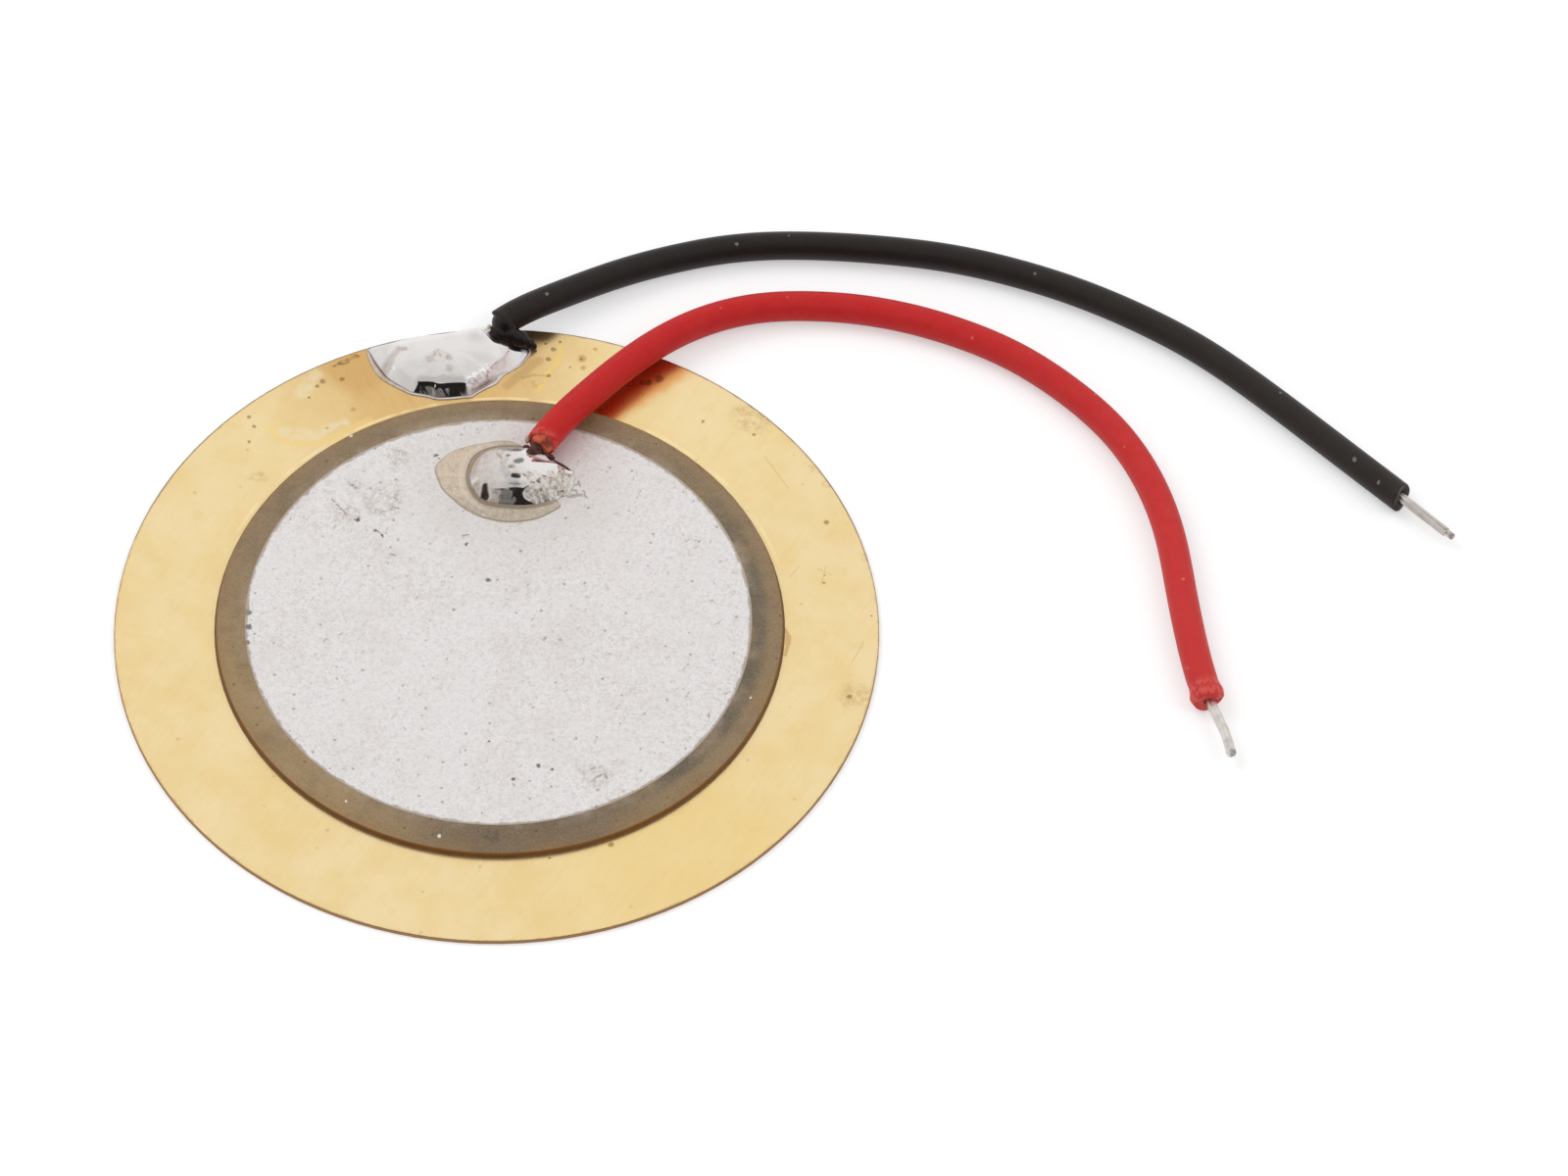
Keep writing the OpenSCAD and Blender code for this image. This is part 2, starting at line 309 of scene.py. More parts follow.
BRASS_SCRATCHES = [(9.25, 7.98, 10.15, 6.57, 0.03), (11.25, 3, 11.75, 2.75, 0.03),
    (11.4, 2.3, 11.55, 3.1, 0.03), (12.55, -1.1, 12.95, -0.2, 0.03), (10.3, 2.6, 10.6, 3.1, 0.03),
    (-5.2, 10.9, -4.9, 10.6, 0.03)]
PALE_SMEARS = [(-8.05, 8.45, -6.8, 8.4, 0.38), (-6.8, 8.4, -5.9, 8.9, 0.36),
    (-7.1, 11.1, -7.5, 10.3, 0.4)]
BROWNED_EDGE = [(-6.2, 11.7, -5.95, 11.78, 0.17), (-6.1, 11.8, -5.6, 12, 0.11)]
FLUX_LINE = [(0.44, 11.25, 0.86, 11.42, 0.09), (0.86, 11.42, 1.41, 11.37, 0.06)]
GLUE_STAIN = [(10.16, 0.3, 10.3, -0.05, 0.1), (10.28, -0.05, 10.28, -0.35, 0.17),
    (10.28, -0.35, 10.2, -0.85, 0.1)]
TIDE_MARK = [(-8.5, 8.6), (-8.1, 8.06), (-7.2, 7.92), (-6.35, 8.15), (-5.6, 8.75), (-5, 9.1)]
CERAMIC_CHIPS = [(-1.6, -9.27, 0.08), (9.03, -2.94, 0.06), (-4.9, -7.9, 0.05), (-5.6, 8.2, 0.07)]
FILM_SPOTS = [(-0.4, 1.9, 0.12), (-2.5, 7.4, 0.1), (-1.25, 3.45, 0.08), (-5.15, 4.4, 0.1),
    (-4.5, 3.95, 0.1), (-4.25, 3.75, 0.07), (0.85, -6.75, 0.1), (-0.05, -5.15, 0.07), (1.7, -6.15, 0.09),
    (2.2, -6.3, 0.07), (-8.8, 0.15, 0.16), (-8.75, -0.5, 0.15), (-8.75, -1.15, 0.1)]
FILM_STAINS = [(-4.25, 5.35, 0.85), (-5.6, 4.75, 0.55), (-3.85, 7.2, 0.5), (-5.35, 5.95, 0.5),
    (3.9, -6.55, 0.6), (3.3, -6.35, 0.4), (4.4, -6, 0.35)]
FILM_DASHES = [(-6.12, 5.3, -6.02, 5.18), (-5.95, 5.05, -5.85, 5), (-5.8, 4.9, -5.6, 4.7),
    (-5.25, 4.45, -5.15, 4.38), (-4.5, 3.97, -4.35, 3.87), (-4.3, 3.8, -4.2, 3.68),
    (-3.95, 5.03, -3.75, 4.97), (-1.4, 3.85, -1.15, 3.9), (-3.9, 2.9, -3.75, 2.86),
    (3.7, -6.6, 3.9, -6.5), (4, -6.4, 4.1, -6.6), (3.55, -6.25, 3.7, -6.15)]
# Painted shading on the crowns of both solder mounds.
PAINTED_CROWN_SHADES = [(-3.3, 10.7, -1.75, 10.74, 0.18), (-0.05, 6.35, 0.12, 6.02, 0.22),
    (0.12, 6.02, 0.4, 5.82, 0.2), (0.05, 6.72, -0.1, 6.42, 0.16)]
SOLDER_SMUDGES = [(-2.65, 11.6, 0.28), (-2.25, 11.55, 0.2), (-2.9, 11.45, 0.2), (-2.5, 11.4, 0.18),
    (-0.12, 11.5, 0.16), (1.63, 6.38, 0.07), (-0.12, 7.02, 0.09), (-0.1, 6.75, 0.08), (0.24, 6.38, 0.12)]
SOLDER_STREAKS = [(-4.62, 11.24, -4.38, 11.57, 0.28), (-4.38, 11.57, -4.08, 11.96, 0.2),
    (-4.08, 11.96, -3.82, 11.97, 0.14), (-2.21, 11.12, -2.2, 11.05, 0.17), (-0.3, 7.05, -0.12, 6.8, 0.08),
    (-0.12, 6.8, -0.16, 6.55, 0.07), (0.2, 6.4, 0.32, 6.4, 0.1)]
SOLDER_DENT_SHADES = [(0.42, 6.62, 0.58, 6.68, 0.17), (0.1, 6.93, 0.12, 6.93, 0.1)]
SOLDER_RECESS_SHADES = [(0.32, 6.03, 0.52, 6, 0.12), (-0.68, 5.75, -0.76, 5.42, 0.15),
    (-0.68, 5.72, -0.6, 5.46, 0.14), (-0.68, 5.6, -0.68, 5.44, 0.16)]
# A painted reflection of the red lead on the rim solder's foot.
LEAD_REFLECTION_ON_SOLDER = [(-1.1, 10.42, -0.75, 10.62, 0.1), (-0.75, 10.62, -0.35, 10.95, 0.1)]
FILM_RAGGED = [(2.35, 6.05, 2.6, 6, 0.06), (2.6, 6, 2.72, 5.8, 0.05), (2.3, 5.72, 2.75, 5.82, 0.1),
    (2.8, 6, 2.95, 5.72, 0.05), (2.62, 6.45, 2.7, 6.2, 0.06), (2.45, 6.3, 2.6, 6.28, 0.06)]


def heat_colours(f):
    """Browned brass round the rim joint, with a pool of flux that dried there."""
    heat = f.ramp(f.far_from(HEAT_MIDDLE, f.shaken(0.9, 0.6)), 6.8, 2.6)
    f.coat(heat * 0.85, (222, 182, 118))
    tarnish = f.ramp(f.far_from((-5.6, 11.4), f.shaken(0.5, 0.8)), 1.5, 0.7)
    f.coat(tarnish * 0.45, (206, 160, 96))
    heat_lines = f.cloud(1, 3, 0.6, f.product(f.turned(-25), (5, 0.5, 1)))
    f.coat(heat * f.ramp(heat_lines, 0.5, 0.8) * 0.2, (176, 132, 72))
    dried = f.ramp(f.far_from((-6.9, 9.5), f.shaken(0.4, 0.8)), 1.7, 1)
    f.coat(dried * 0.5, (236, 206, 146))
    pale = f.strokes(PALE_SMEARS, f.shaken(0.3, 1.2)) * f.ramp(f.cloud(2, 3), 0.25, 0.6)
    f.coat(pale * 0.75, (240, 223, 184))
    tide = f.strokes([(*a, *b, 0.22) for a, b in zip(TIDE_MARK, TIDE_MARK[1:])], f.shaken(0.12, 1.5))
    f.coat(tide * 0.55, (246, 214, 138))


def joint_marks(f):
    """Marks round the ceramic and the joints: a painted highlight along the ceramic's edge, burnt flux,
    streaks, smudges, stains, and a painted reflection of the red lead.
    """
    # Painted highlight: a pale yellow line just outside the ceramic, towards the north.
    painted_edge_highlight = f.far_from(CERAMIC_MID) - (CERAMIC_R + 0.24)
    painted_edge_highlight = f.ramp(painted_edge_highlight.size(), 0.09, 0.02) * f.ramp(f.cloud(0.9, 2), 0.4, 0.6)
    f.coat(painted_edge_highlight * f.ramp(f.north(), 2, 5) * 0.7, (255, 232, 176))
    burnt = f.stroke((0.3, 13.2), (1.2, 13.35), 0.55, f.shaken(0.25, 2))
    f.coat(burnt * 0.75, (112, 84, 50))
    browned = f.strokes(BROWNED_EDGE, f.shaken(0.18, 3)) * f.ramp(f.cloud(4, 3, 0.7), 0.3, 0.6)
    f.coat(browned * 0.75, (124, 92, 54))
    foot = f.stroke((-0.1, 10.9), (0.95, 12.1), 0.3, f.shaken(0.15, 2))
    f.coat(foot * 0.4, (176, 136, 86))
    streak = f.strokes(BRASS_STREAKS, f.shaken(0.15, 2.5)) * f.ramp(f.cloud(4, 3, 0.7), 0.3, 0.6)
    f.coat(streak * 0.6, (250, 214, 108))
    smudge = f.spots(BRASS_SMUDGES, f.shaken(0.35, 2)) * f.ramp(f.cloud(5, 3, 0.7), 0.3, 0.7)
    f.coat(smudge * 0.5, (196, 158, 104))
    stain = f.spots(BRASS_STAINS, f.shaken(0.06, 4))
    f.coat(stain * 0.6, (190, 146, 88))
    f.coat(f.strokes(FLUX_LINE, f.shaken(0.04, 3)) * 0.35, (160, 124, 78))
    f.coat(f.strokes(GLUE_STAIN, f.shaken(0.05, 3)) * 0.7, (202, 160, 98))
    # Painted reflection: the orange glow of the red lead on the brass beside it.
    painted_lead_reflection_on_brass = f.stroke((3.2, 9.45), (6.3, 12.2), 0.75, f.shaken(0.25, 1.5))
    f.coat(painted_lead_reflection_on_brass * 0.65, (238, 156, 66))


def brass():
    """Rolled brass sheet, a little tarnished, with heat colours round the rim joint."""
    f = Finish("brass_sheet")
    radius = f.far_from((0, 0))
    f.shade = f.mix(f.ramp(f.cloud(0.35, 3, 0.6), 0.35, 0.7), (244, 221, 170), (240, 212, 151))
    yellow = f.ramp(f.far_from((7, -10), f.shaken(1.5, 0.3)), 7, 2)
    f.coat(yellow * 0.6, (242, 212, 142))
    f.coat(f.ramp(f.cloud(1.6, 4, 0.7), 0.5, 0.8) * 0.45, (235, 203, 138))
    rolled = f.cloud(1, 4, 0.7, f.product(f.turned(28), (6, 0.35, 1)))
    f.coat(f.ramp(rolled, 0.45, 0.75) * 0.15, (246, 226, 176))
    f.coat(f.ramp(rolled, 0.5, 0.25) * 0.15, (226, 193, 128))
    heat_colours(f)
    joint_marks(f)
    speck = f.spots(BRASS_SPECKS, f.shaken(0.06, 5))
    pits = f.specks(0.55, 0.055, 0.5)
    dashes = f.cloud(1, 3, 0.75, f.product(f.turned(-40), (7, 2.2, 1)))
    dashes = f.ramp(dashes, 0.66, 0.74) * f.ramp(f.cloud(0.7, 2), 0.55, 0.7)
    f.coat(speck * 0.62 + pits * 0.3 + dashes * 0.07, (126, 88, 46))
    worn = f.ramp(radius + (f.cloud(2.5, 3, 0.7) - 0.5) * 0.3, PLATE_R - 0.1, PLATE_R - 0.01)
    f.coat(worn * 0.4, (190, 146, 96))
    side = f.ramp(radius, PLATE_R - 0.04, PLATE_R - 0.02)
    f.coat(side * 0.8, (150, 108, 76))
    burr = f.ramp(radius, PLATE_R - 0.08, PLATE_R - 0.04) * f.ramp(f.north(), 2, 6)
    f.coat(burr * 0.7, (112, 74, 56))
    scratch = f.strokes(BRASS_SCRATCHES, f.shaken(0.03, 2))
    f.coat(scratch * 0.35, (196, 152, 92))
    rough = 0.23 + f.cloud(1.2, 3) * 0.1 + scratch * 0.1 + side * 0.3
    bump = f.cloud(0.8, 2) * 0.5 + rolled * 0.03 - speck * 0.2 - scratch * 0.08
    clean = f.ramp(f.far_from((5.6, 10.6)), 6, 3)
    return f.finish(rough, bump, 0.012, Metallic=0.78 + clean * 0.22)


def ceramic():
    """Bare lead zirconate titanate, satin brown-grey, with an orange-brown cut side."""
    f = Finish("piezo_ceramic", IOR=1.5, Specular_IOR_Level=0.6)
    radius = f.far_from(CERAMIC_MID)
    from_film = f.far_from(FILM_MID) - FILM_R
    f.shade = f.mix(f.ramp(f.far_from((-8, -5)), 9, 3), (146, 122, 90), (164, 137, 97))
    f.coat(f.ramp(f.far_from((1.5, -9.5)), 5.5, 1.5) * 0.8, (113, 94, 71))
    east = f.ramp(f.far_from((9.5, -2)), 11, 4)
    inner = f.ramp(from_film, 0.75, 0.28) * (0.2 + east * 0.72) * f.ramp(f.cloud(0.6, 3), 0.25, 0.6)
    f.coat(inner * 0.9, (82, 77, 66))
    outer = f.ramp(from_film, 0.5, 1) * f.ramp(f.cloud(0.5, 3), 0.35, 0.7)
    f.coat(outer * 0.6, (150, 115, 64))
    f.coat(f.ramp(f.cloud(1.1, 4, 0.7), 0.42, 0.78) * 0.4, (96, 79, 54))
    haze = f.ramp(from_film, 0.5, 0.02) * f.ramp(f.cloud(0.7, 3, 0.6), 0.42, 0.72)
    f.coat(haze * 0.6, (182, 164, 145))
    grain = f.cloud(14, 3, 0.8)
    f.coat(f.ramp(grain, 0.5, 0.7) * 0.45, (166, 142, 106))
    f.coat(f.ramp(grain, 0.5, 0.3) * 0.45, (90, 72, 50))
    pits = f.specks(1.1, 0.05, 0.4)
    f.coat(pits * 0.6, (64, 52, 40))
    smear = f.spots([(0.25, -9.2, 0.4)], f.shaken(0.3, 3)) * f.ramp(f.cloud(6, 3, 0.7), 0.35, 0.6)
    f.coat(smear * 0.6, (78, 66, 54))
    f.coat(f.spots(CERAMIC_CHIPS, f.shaken(0.05, 8)), (235, 230, 224))
    wall = f.ramp(radius, CERAMIC_R - 0.045, CERAMIC_R - 0.015)
    low = f.ramp(f.height(), CERAMIC_MID[2], ceramic_low[2])
    f.coat(wall, f.mix(low, (138, 88, 26), (88, 54, 14)))
    rough = 0.42 + f.cloud(9, 2) * 0.2
    bump = grain * 0.6 - pits * 0.6
    return f.finish(rough, bump, 0.008)


def glue():
    """Brown epoxy that was squeezed out round the ceramic."""
    f = Finish("epoxy_bond")
    f.shade = f.mix(f.cloud(3, 3), (98, 68, 36), (138, 100, 54))
    return f.finish(0.35 + f.cloud(5) * 0.2, f.cloud(8, 2), 0.01)


def silver_film():
    """Screen-printed and fired silver: off-white, matt, pitted, with a few stains."""
    f = Finish("silver_film", Metallic=0.35)
    from_edge = FILM_R - f.far_from(FILM_MID)
    f.shade = f.mix(f.ramp(f.cloud(0.5, 3, 0.6), 0.3, 0.75), (243, 239, 238), (239, 235, 233))
    grain = f.cloud(9, 4, 0.85)
    coarse = 0.65 + f.ramp(f.cloud(0.35, 2), 0.35, 0.65) * 0.35
    f.coat(f.ramp(grain, 0.48, 0.64) * coarse * 0.62, (206, 196, 192))
    f.coat(f.ramp(grain, 0.48, 0.34) * coarse * 0.6, (252, 250, 250))
    near_joint = f.ramp(f.far_from(FILM_JOINT, f.shaken(0.8, 0.8)), 5.5, 1.5)
    f.coat(near_joint * 0.35, (216, 208, 200))
    flecks = f.cloud(6, 4, 0.85, f.product(f.turned(35), (1, 0.45, 1)))
    flecks = f.ramp(flecks, 0.61, 0.68) * f.ramp(f.cloud(1.1, 3, 0.7), 0.38, 0.6)
    f.coat(flecks * 0.6, (156, 138, 128))
    blush = f.ramp(f.cloud(0.6, 3, 0.7), 0.52, 0.72)
    f.coat(blush * 0.15, (214, 196, 188))
    ragged = f.strokes(FILM_RAGGED, f.shaken(0.12, 4))
    f.coat(ragged * 0.55, (128, 114, 102))
    dashes = f.strokes([(*line, 0.05) for line in FILM_DASHES], f.shaken(0.09, 5))
    f.coat(dashes * 0.55, (112, 94, 84))
    stained = f.spots(FILM_STAINS, f.shaken(0.5, 1.2))
    stain = stained * f.ramp(f.cloud(3, 4, 0.8), 0.4, 0.66)
    f.coat(stain * 0.5, (182, 162, 146))
    etched = stained * f.ramp(f.cloud(4, 4, 0.85), 0.58, 0.66)
    f.coat(etched * 0.65, (122, 104, 90))
    pits = f.specks(1.3, 0.05, 0.5)
    fine = f.specks(4, 0.022, 0.35)
    spots = f.spots(FILM_SPOTS, f.shaken(0.1, 5))
    f.coat(pits * 0.5 + fine * 0.25, (128, 114, 104))
    f.coat(spots * 0.8, (90, 78, 70))
    rim = f.ramp(from_edge + (f.cloud(2.2, 4, 0.7) - 0.5) * 0.3, 0.13, 0.05)
    f.coat(rim * 0.75, (168, 150, 128))
    rough = 0.45 + f.cloud(6, 3) * 0.25
    bump = grain + f.cloud(1.5, 2) * 0.5 - (pits + spots + flecks + dashes) * 0.6 - rim * 0.8
    return f.finish(rough, bump, 0.02)


def solder():
    """Bright leaded solder, dull where its skin is matt, with painted highlights, painted shade in its
    crowns, dents and creases, a painted red reflection, and painted pale and dark patches in place of what
    it would mirror.
    """
    f = Finish("bright_solder")
    torn_and_painted_pale, matt, lip, crease_flux_and_shade, crumple_and_painted_dark, skin, painted_glint = (
        f.kept(name) for name in ("torn_and_painted_pale", "matt", "lip", "crease_flux_and_shade", "crumple_and_painted_dark", "skin", "painted_glint"))
    cloudy = f.ramp(f.cloud(1.6, 4, 0.7), 0.48, 0.75)
    mottled = f.cloud(4, 4, 0.8)
    f.shade = f.mix(cloudy * 0.45, (229, 225, 223), (208, 201, 196))
    f.coat(matt * (0.6 + f.ramp(mottled, 0.45, 0.6) * 0.4), (198, 187, 178))
    streaks = f.strokes(SOLDER_STREAKS, f.shaken(0.08, 3)) * (0.55 + f.ramp(mottled, 0.4, 0.6) * 0.45)
    smudges = f.spots(SOLDER_SMUDGES, f.shaken(0.2, 2.5)) * f.ramp(mottled, 0.42, 0.6)
    f.coat(streaks * 0.55 + smudges * 0.5, (170, 148, 128))
    on_rim = f.ramp(f.north(), 8, 9)
    pale = f.mix(on_rim, (214, 203, 190), (232, 228, 228))
    deep = f.mix(on_rim, (172, 154, 136), (190, 182, 180))
    # Dull pale solder where it is torn, and painted pale patches where its wall would mirror the dark
    # opening.
    f.coat(torn_and_painted_pale * 0.9, f.mix(f.ramp(mottled, 0.42, 0.6), pale, deep))
    chinks = torn_and_painted_pale * f.ramp(f.cloud(3.5, 4, 0.75), 0.56, 0.61)
    f.coat(chinks * (0.85 - on_rim * 0.6), (104, 82, 66))
    # Painted reflection: dark grey on the crumpled wall, in place of the dark opening it would mirror.
    f.coat(crumple_and_painted_dark * 0.9, f.mix(f.ramp(mottled, 0.42, 0.6), (128, 124, 112), (80, 78, 70)))
    # Painted highlights: white glints.
    f.coat(f.ramp(f.cloud(6, 3, 0.7), 0.47, 0.53) * painted_glint, (255, 255, 255))
    # Painted reflection of the red lead: a red-brown streak at the rim solder's foot.
    painted_lead_reflection_on_solder = f.strokes(LEAD_REFLECTION_ON_SOLDER, f.shaken(0.1, 4)) * f.ramp(mottled, 0.35, 0.55)
    f.coat(painted_lead_reflection_on_solder * 0.7, (142, 88, 80))
    # Painted shade: grey shading on the crowns.
    painted_crown_shade = f.strokes(PAINTED_CROWN_SHADES, f.shaken(0.12, 2))
    f.coat(painted_crown_shade * 0.45, (170, 168, 168))
    # Painted shade in the dents in the dome's crown.
    painted_dent_shade = f.strokes(SOLDER_DENT_SHADES, f.shaken(0.04, 5))
    f.coat(painted_dent_shade * 0.8, (96, 95, 90))
    brown = f.ramp(f.cloud(2.5, 3), 0.4, 0.6) * 0.5 + f.ramp(f.far_from((-4.9, 11.5)), 2, 1) * 0.6
    f.coat(lip * 0.85, f.mix(brown, (228, 219, 210), (190, 164, 140)))
    # The crease: partly brown flux, partly painted shade in the groove.
    f.coat(crease_flux_and_shade * 0.95, (88, 66, 50))
    # Painted shade: near black in the dome's slit and notch.
    painted_recess_shade = f.strokes(SOLDER_RECESS_SHADES, f.shaken(0.03, 6))
    f.coat(painted_recess_shade * 0.95, (46, 34, 30))
    # Painted pale: dull near-white skin where the solder would mirror the red lead, lighter than the solder
    # so that slopes facing away from the light still look white.
    f.coat(skin, f.mix(cloudy, (250, 248, 248), (240, 236, 236)))
    worn = streaks + smudges + crease_flux_and_shade + painted_recess_shade + torn_and_painted_pale + crumple_and_painted_dark
    rough = 0.05 + cloudy * 0.12 + matt * 0.3 + lip * 0.25 + worn * 0.3
    bump = f.cloud(2.2, 2) * 0.4 + f.cloud(9, 3, 0.6) * 0.06 * (1 + matt + torn_and_painted_pale * 2) - streaks * 0.2
    dull = torn_and_painted_pale * 0.85 + crumple_and_painted_dark * 0.8 + lip * 0.5 + skin * 0.9
    return f.finish(rough, bump, 0.02, Metallic=1 - dull)


def flux():
    """Beige rosin residue, darkest where it lies thick against the solder, with painted shade in that corner
    and a painted highlight along its ridge on the left.
    """
    f = Finish("rosin_flux", IOR=1.52, Coat_Roughness=0.15)
    front = f.ramp(f.north(), FILM_JOINT[1] - 0.7, FILM_JOINT[1] - 1.5)
    f.shade = f.mix(front, (217, 197, 174), (188, 174, 154))
    f.coat(f.ramp(f.cloud(1.2, 3, 0.6), 0.4, 0.7) * 0.5, (184, 164, 142))
    mottled = f.cloud(5, 4, 0.8)
    f.coat(f.ramp(mottled, 0.5, 0.66) * 0.5, (228, 216, 204))
    f.coat(f.ramp(mottled, 0.48, 0.34) * 0.4, (160, 142, 120))
    grain = f.cloud(13, 3, 0.8)
    f.coat(f.ramp(grain, 0.5, 0.72) * 0.4, (236, 224, 212))
    f.coat(f.ramp(grain, 0.5, 0.28) * 0.4, (140, 122, 102))
    # Painted highlight along the flux's ridge, left of the dome.
    f.coat(f.kept("ridge") * 0.5, (232, 218, 202))
    # Thick flux against the solder, darker still with painted shade in the corner.
    f.coat(f.kept("fillet") * 0.8, (124, 107, 84))
    f.coat(f.kept("rim") * 0.6, (146, 130, 112))
    rough = 0.3 + f.cloud(5, 3) * 0.25
    return f.finish(rough, mottled, 0.02, Coat_Weight=0.15 + f.cloud(3) * 0.2)


def dried_flux():
    """Pale beige flux that dried in a crust."""
    f = Finish("dried_flux", IOR=1.52)
    f.shade = f.mix(f.ramp(f.cloud(6, 3), 0.35, 0.65), (206, 190, 174), (170, 150, 132))
    return f.finish(0.4 + f.cloud(6, 2) * 0.2, f.cloud(8, 3), 0.01)


def burnt_flux_and_shade():
    """Dark reddish-brown flux, burnt round the red conductor; where it runs along the dome's edge it is
    painted shade of the red lead.
    """
    f = Finish("burnt_flux_and_shade", IOR=1.52, Specular_IOR_Level=0.3)
    f.shade = f.mix(f.ramp(f.cloud(5, 3), 0.35, 0.7), (50, 22, 16), (98, 54, 42))
    return f.finish(0.35 + f.cloud(6, 2) * 0.3, f.cloud(8, 3), 0.02)


def tinned_wire():
    """Strands that were dipped in tin, satin grey, with dirt where they were cut."""
    f = Finish("tinned_strands", Metallic=1)
    f.shade = f.mix(f.ramp(f.cloud(3, 3), 0.35, 0.7), (228, 223, 218), (206, 199, 194))
    f.coat(f.ramp(f.cloud(9, 3, 0.7), 0.62, 0.75) * 0.5, (140, 124, 112))
    f.coat(f.spots([(33.3, 5.5, 2)]) * 0.35, (176, 166, 158))
    ends = f.spots([(33.9, 4.9, 0.26), (25.94, -4.9, 0.17)], f.shaken(0.06, 8))
    f.coat(ends * 0.65, (110, 92, 80))
    return f.finish(0.28 + f.cloud(6, 3) * 0.15, f.cloud(15, 3), 0.005)


def vinyl(name, shade, frosted, frost, speck_shade, end_shade, dust, **constants):
    """Extruded PVC, satin, with faint draw lines and dust, frosted towards its free end."""
    f = Finish(name, IOR=1.48, Sheen_Roughness=0.35, **constants)
    lined = f.add("ShaderNodeUVMap", uv_map="around_and_along")
    along = f.part(lined, "Y")
    lines = f.cloud(1, 3, 0.6, f.product(lined, (9, 0.15, 0)))
    bloom = f.ramp(f.cloud(1.5, 4, 0.7), 0.3, 0.8) * 0.3 + f.ramp(along, 8, 36) * 0.7
    f.shade = f.mix(bloom * frost, shade, frosted)
    grain = f.cloud(16, 3, 0.8)
    f.coat(f.ramp(grain, 0.5, 0.75) * 0.35, frosted)
    worked = f.ramp(along, 36.5, 36.9) + f.ramp(along, 0.35, 0.05)
    f.coat(worked * f.ramp(f.cloud(5, 4, 0.7), 0.4, 0.6) * 0.6, end_shade)
    fine = f.specks(0.9, 0.05, 0.25) + f.ramp(f.cloud(7, 4, 0.85), 0.72, 0.78)
    f.coat((fine + f.spots(dust, f.shaken(0.05, 6))) * 0.6, speck_shade)
    rough = 0.4 + lines * 0.12 + bloom * 0.08
    bump = lines * 0.5 + grain * 0.5 + f.cloud(2, 2) * 0.6
    return f.finish(rough, bump, 0.008)


def black_vinyl():
    """The black sleeve's compound, which shows its dust."""
    dust = [(30.36, 7.96, 0.1), (31.2, 7, 0.07), (1.2, 14.2, 0.08), (8, 17.1, 0.08)]
    return vinyl("black_pvc", (30, 25, 22), (54, 47, 43), 0.6, (146, 140, 134), (60, 54, 50), dust,
                 Specular_IOR_Level=0.25, Sheen_Weight=0.16)


def red_vinyl():
    """The red sleeve's compound, a little translucent, pale where it was cut."""
    dust = [(24.2, 2.3, 0.08), (7.5, 13.9, 0.05)]
    return vinyl("red_pvc", (199, 25, 26), (209, 60, 58), 0.9, (232, 130, 116), (226, 112, 100), dust,
                 Specular_IOR_Level=0.3, Sheen_Weight=0.03, Subsurface_Weight=0.35,
                 Subsurface_Scale=0.0006, Subsurface_Radius=(1, 0.2, 0.1))


def melted_vinyl():
    """Black PVC that melted and ran: glossy, with brown singed edges."""
    f = Finish("melted_black_pvc", IOR=1.5, Specular_IOR_Level=0.25)
    singed = f.ramp(f.cloud(2.4, 3, 0.7), 0.5, 0.75)
    f.shade = f.mix(singed * 0.6, (27, 21, 19), (54, 38, 30))
    return f.finish(0.15 + f.cloud(4, 3) * 0.25, f.cloud(5, 3, 0.6), 0.03)


def rosin():
    """Amber rosin in the red sleeve's mouth."""
    f = Finish("amber_rosin", IOR=1.52)
    f.shade = f.mix(f.ramp(f.cloud(4, 3), 0.35, 0.65), (214, 98, 58), (140, 48, 24))
    return f.finish(0.3 + f.cloud(6, 2) * 0.2, f.cloud(9, 3), 0.02)


# ---------------------------------------------------------------------------------------------
# Shapes.
def in_scene(name, data):
    """A new object in the scene, at the origin."""
    made = bpy.data.objects.new(name, data)
    bpy.context.scene.collection.objects.link(made)
    return made


def new_piece(name, points, faces, finish, nodes, keep=()):
    """A mesh from points in millimetres, riding on the part in place of some CAD nodes."""
    mesh = bpy.data.meshes.new(name)
    mesh.from_pydata((np.asarray(points) * MM).tolist(), [], faces)
    for kept, values in dict(keep).items():
        mesh.attributes.new(kept, "FLOAT", "POINT").data.foreach_set("value", values)
    mesh.materials.append(finish)
    mesh.shade_smooth()
    return settle(in_scene(name, mesh), nodes)


def settle(piece, nodes):
    """Lets a piece ride on the part and in place of the nodes it stands for."""
    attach(piece, "root")
    if nodes:
        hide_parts(*nodes)
    return piece


def made_mesh(name, source):
    """The plain mesh that an object's modifiers make, in place of the object."""
    evaluated = source.evaluated_get(bpy.context.evaluated_depsgraph_get())
    mesh = bpy.data.meshes.new_from_object(evaluated)
    mesh.name = name
    bpy.data.objects.remove(source)
    return mesh


CURVE_STEPS = 12


def smooth_curve(points, closed):
    """A Catmull-Rom curve through points, with CURVE_STEPS points to a span."""
    p = np.array(points, float)
    if closed:
        before, after, beyond = np.roll(p, 1, 0), np.roll(p, -1, 0), np.roll(p, -2, 0)
    else:
        padded = np.concatenate([p[:1], p, p[-1:]])
        before, p, after, beyond = padded[:-3], padded[1:-2], padded[2:-1], padded[3:]
    t = (np.arange(CURVE_STEPS) / CURVE_STEPS)[None, :, None]
    a, b, c, d = (q[:, None, :] for q in (before, p, after, beyond))
    curve = b + (c - a) * t / 2 + (2 * a - 5 * b + 4 * c - d) * t**2 / 2 + (3 * b - a - 3 * c + d) * t**3 / 2
    return curve.reshape(-1, len(points[0]))


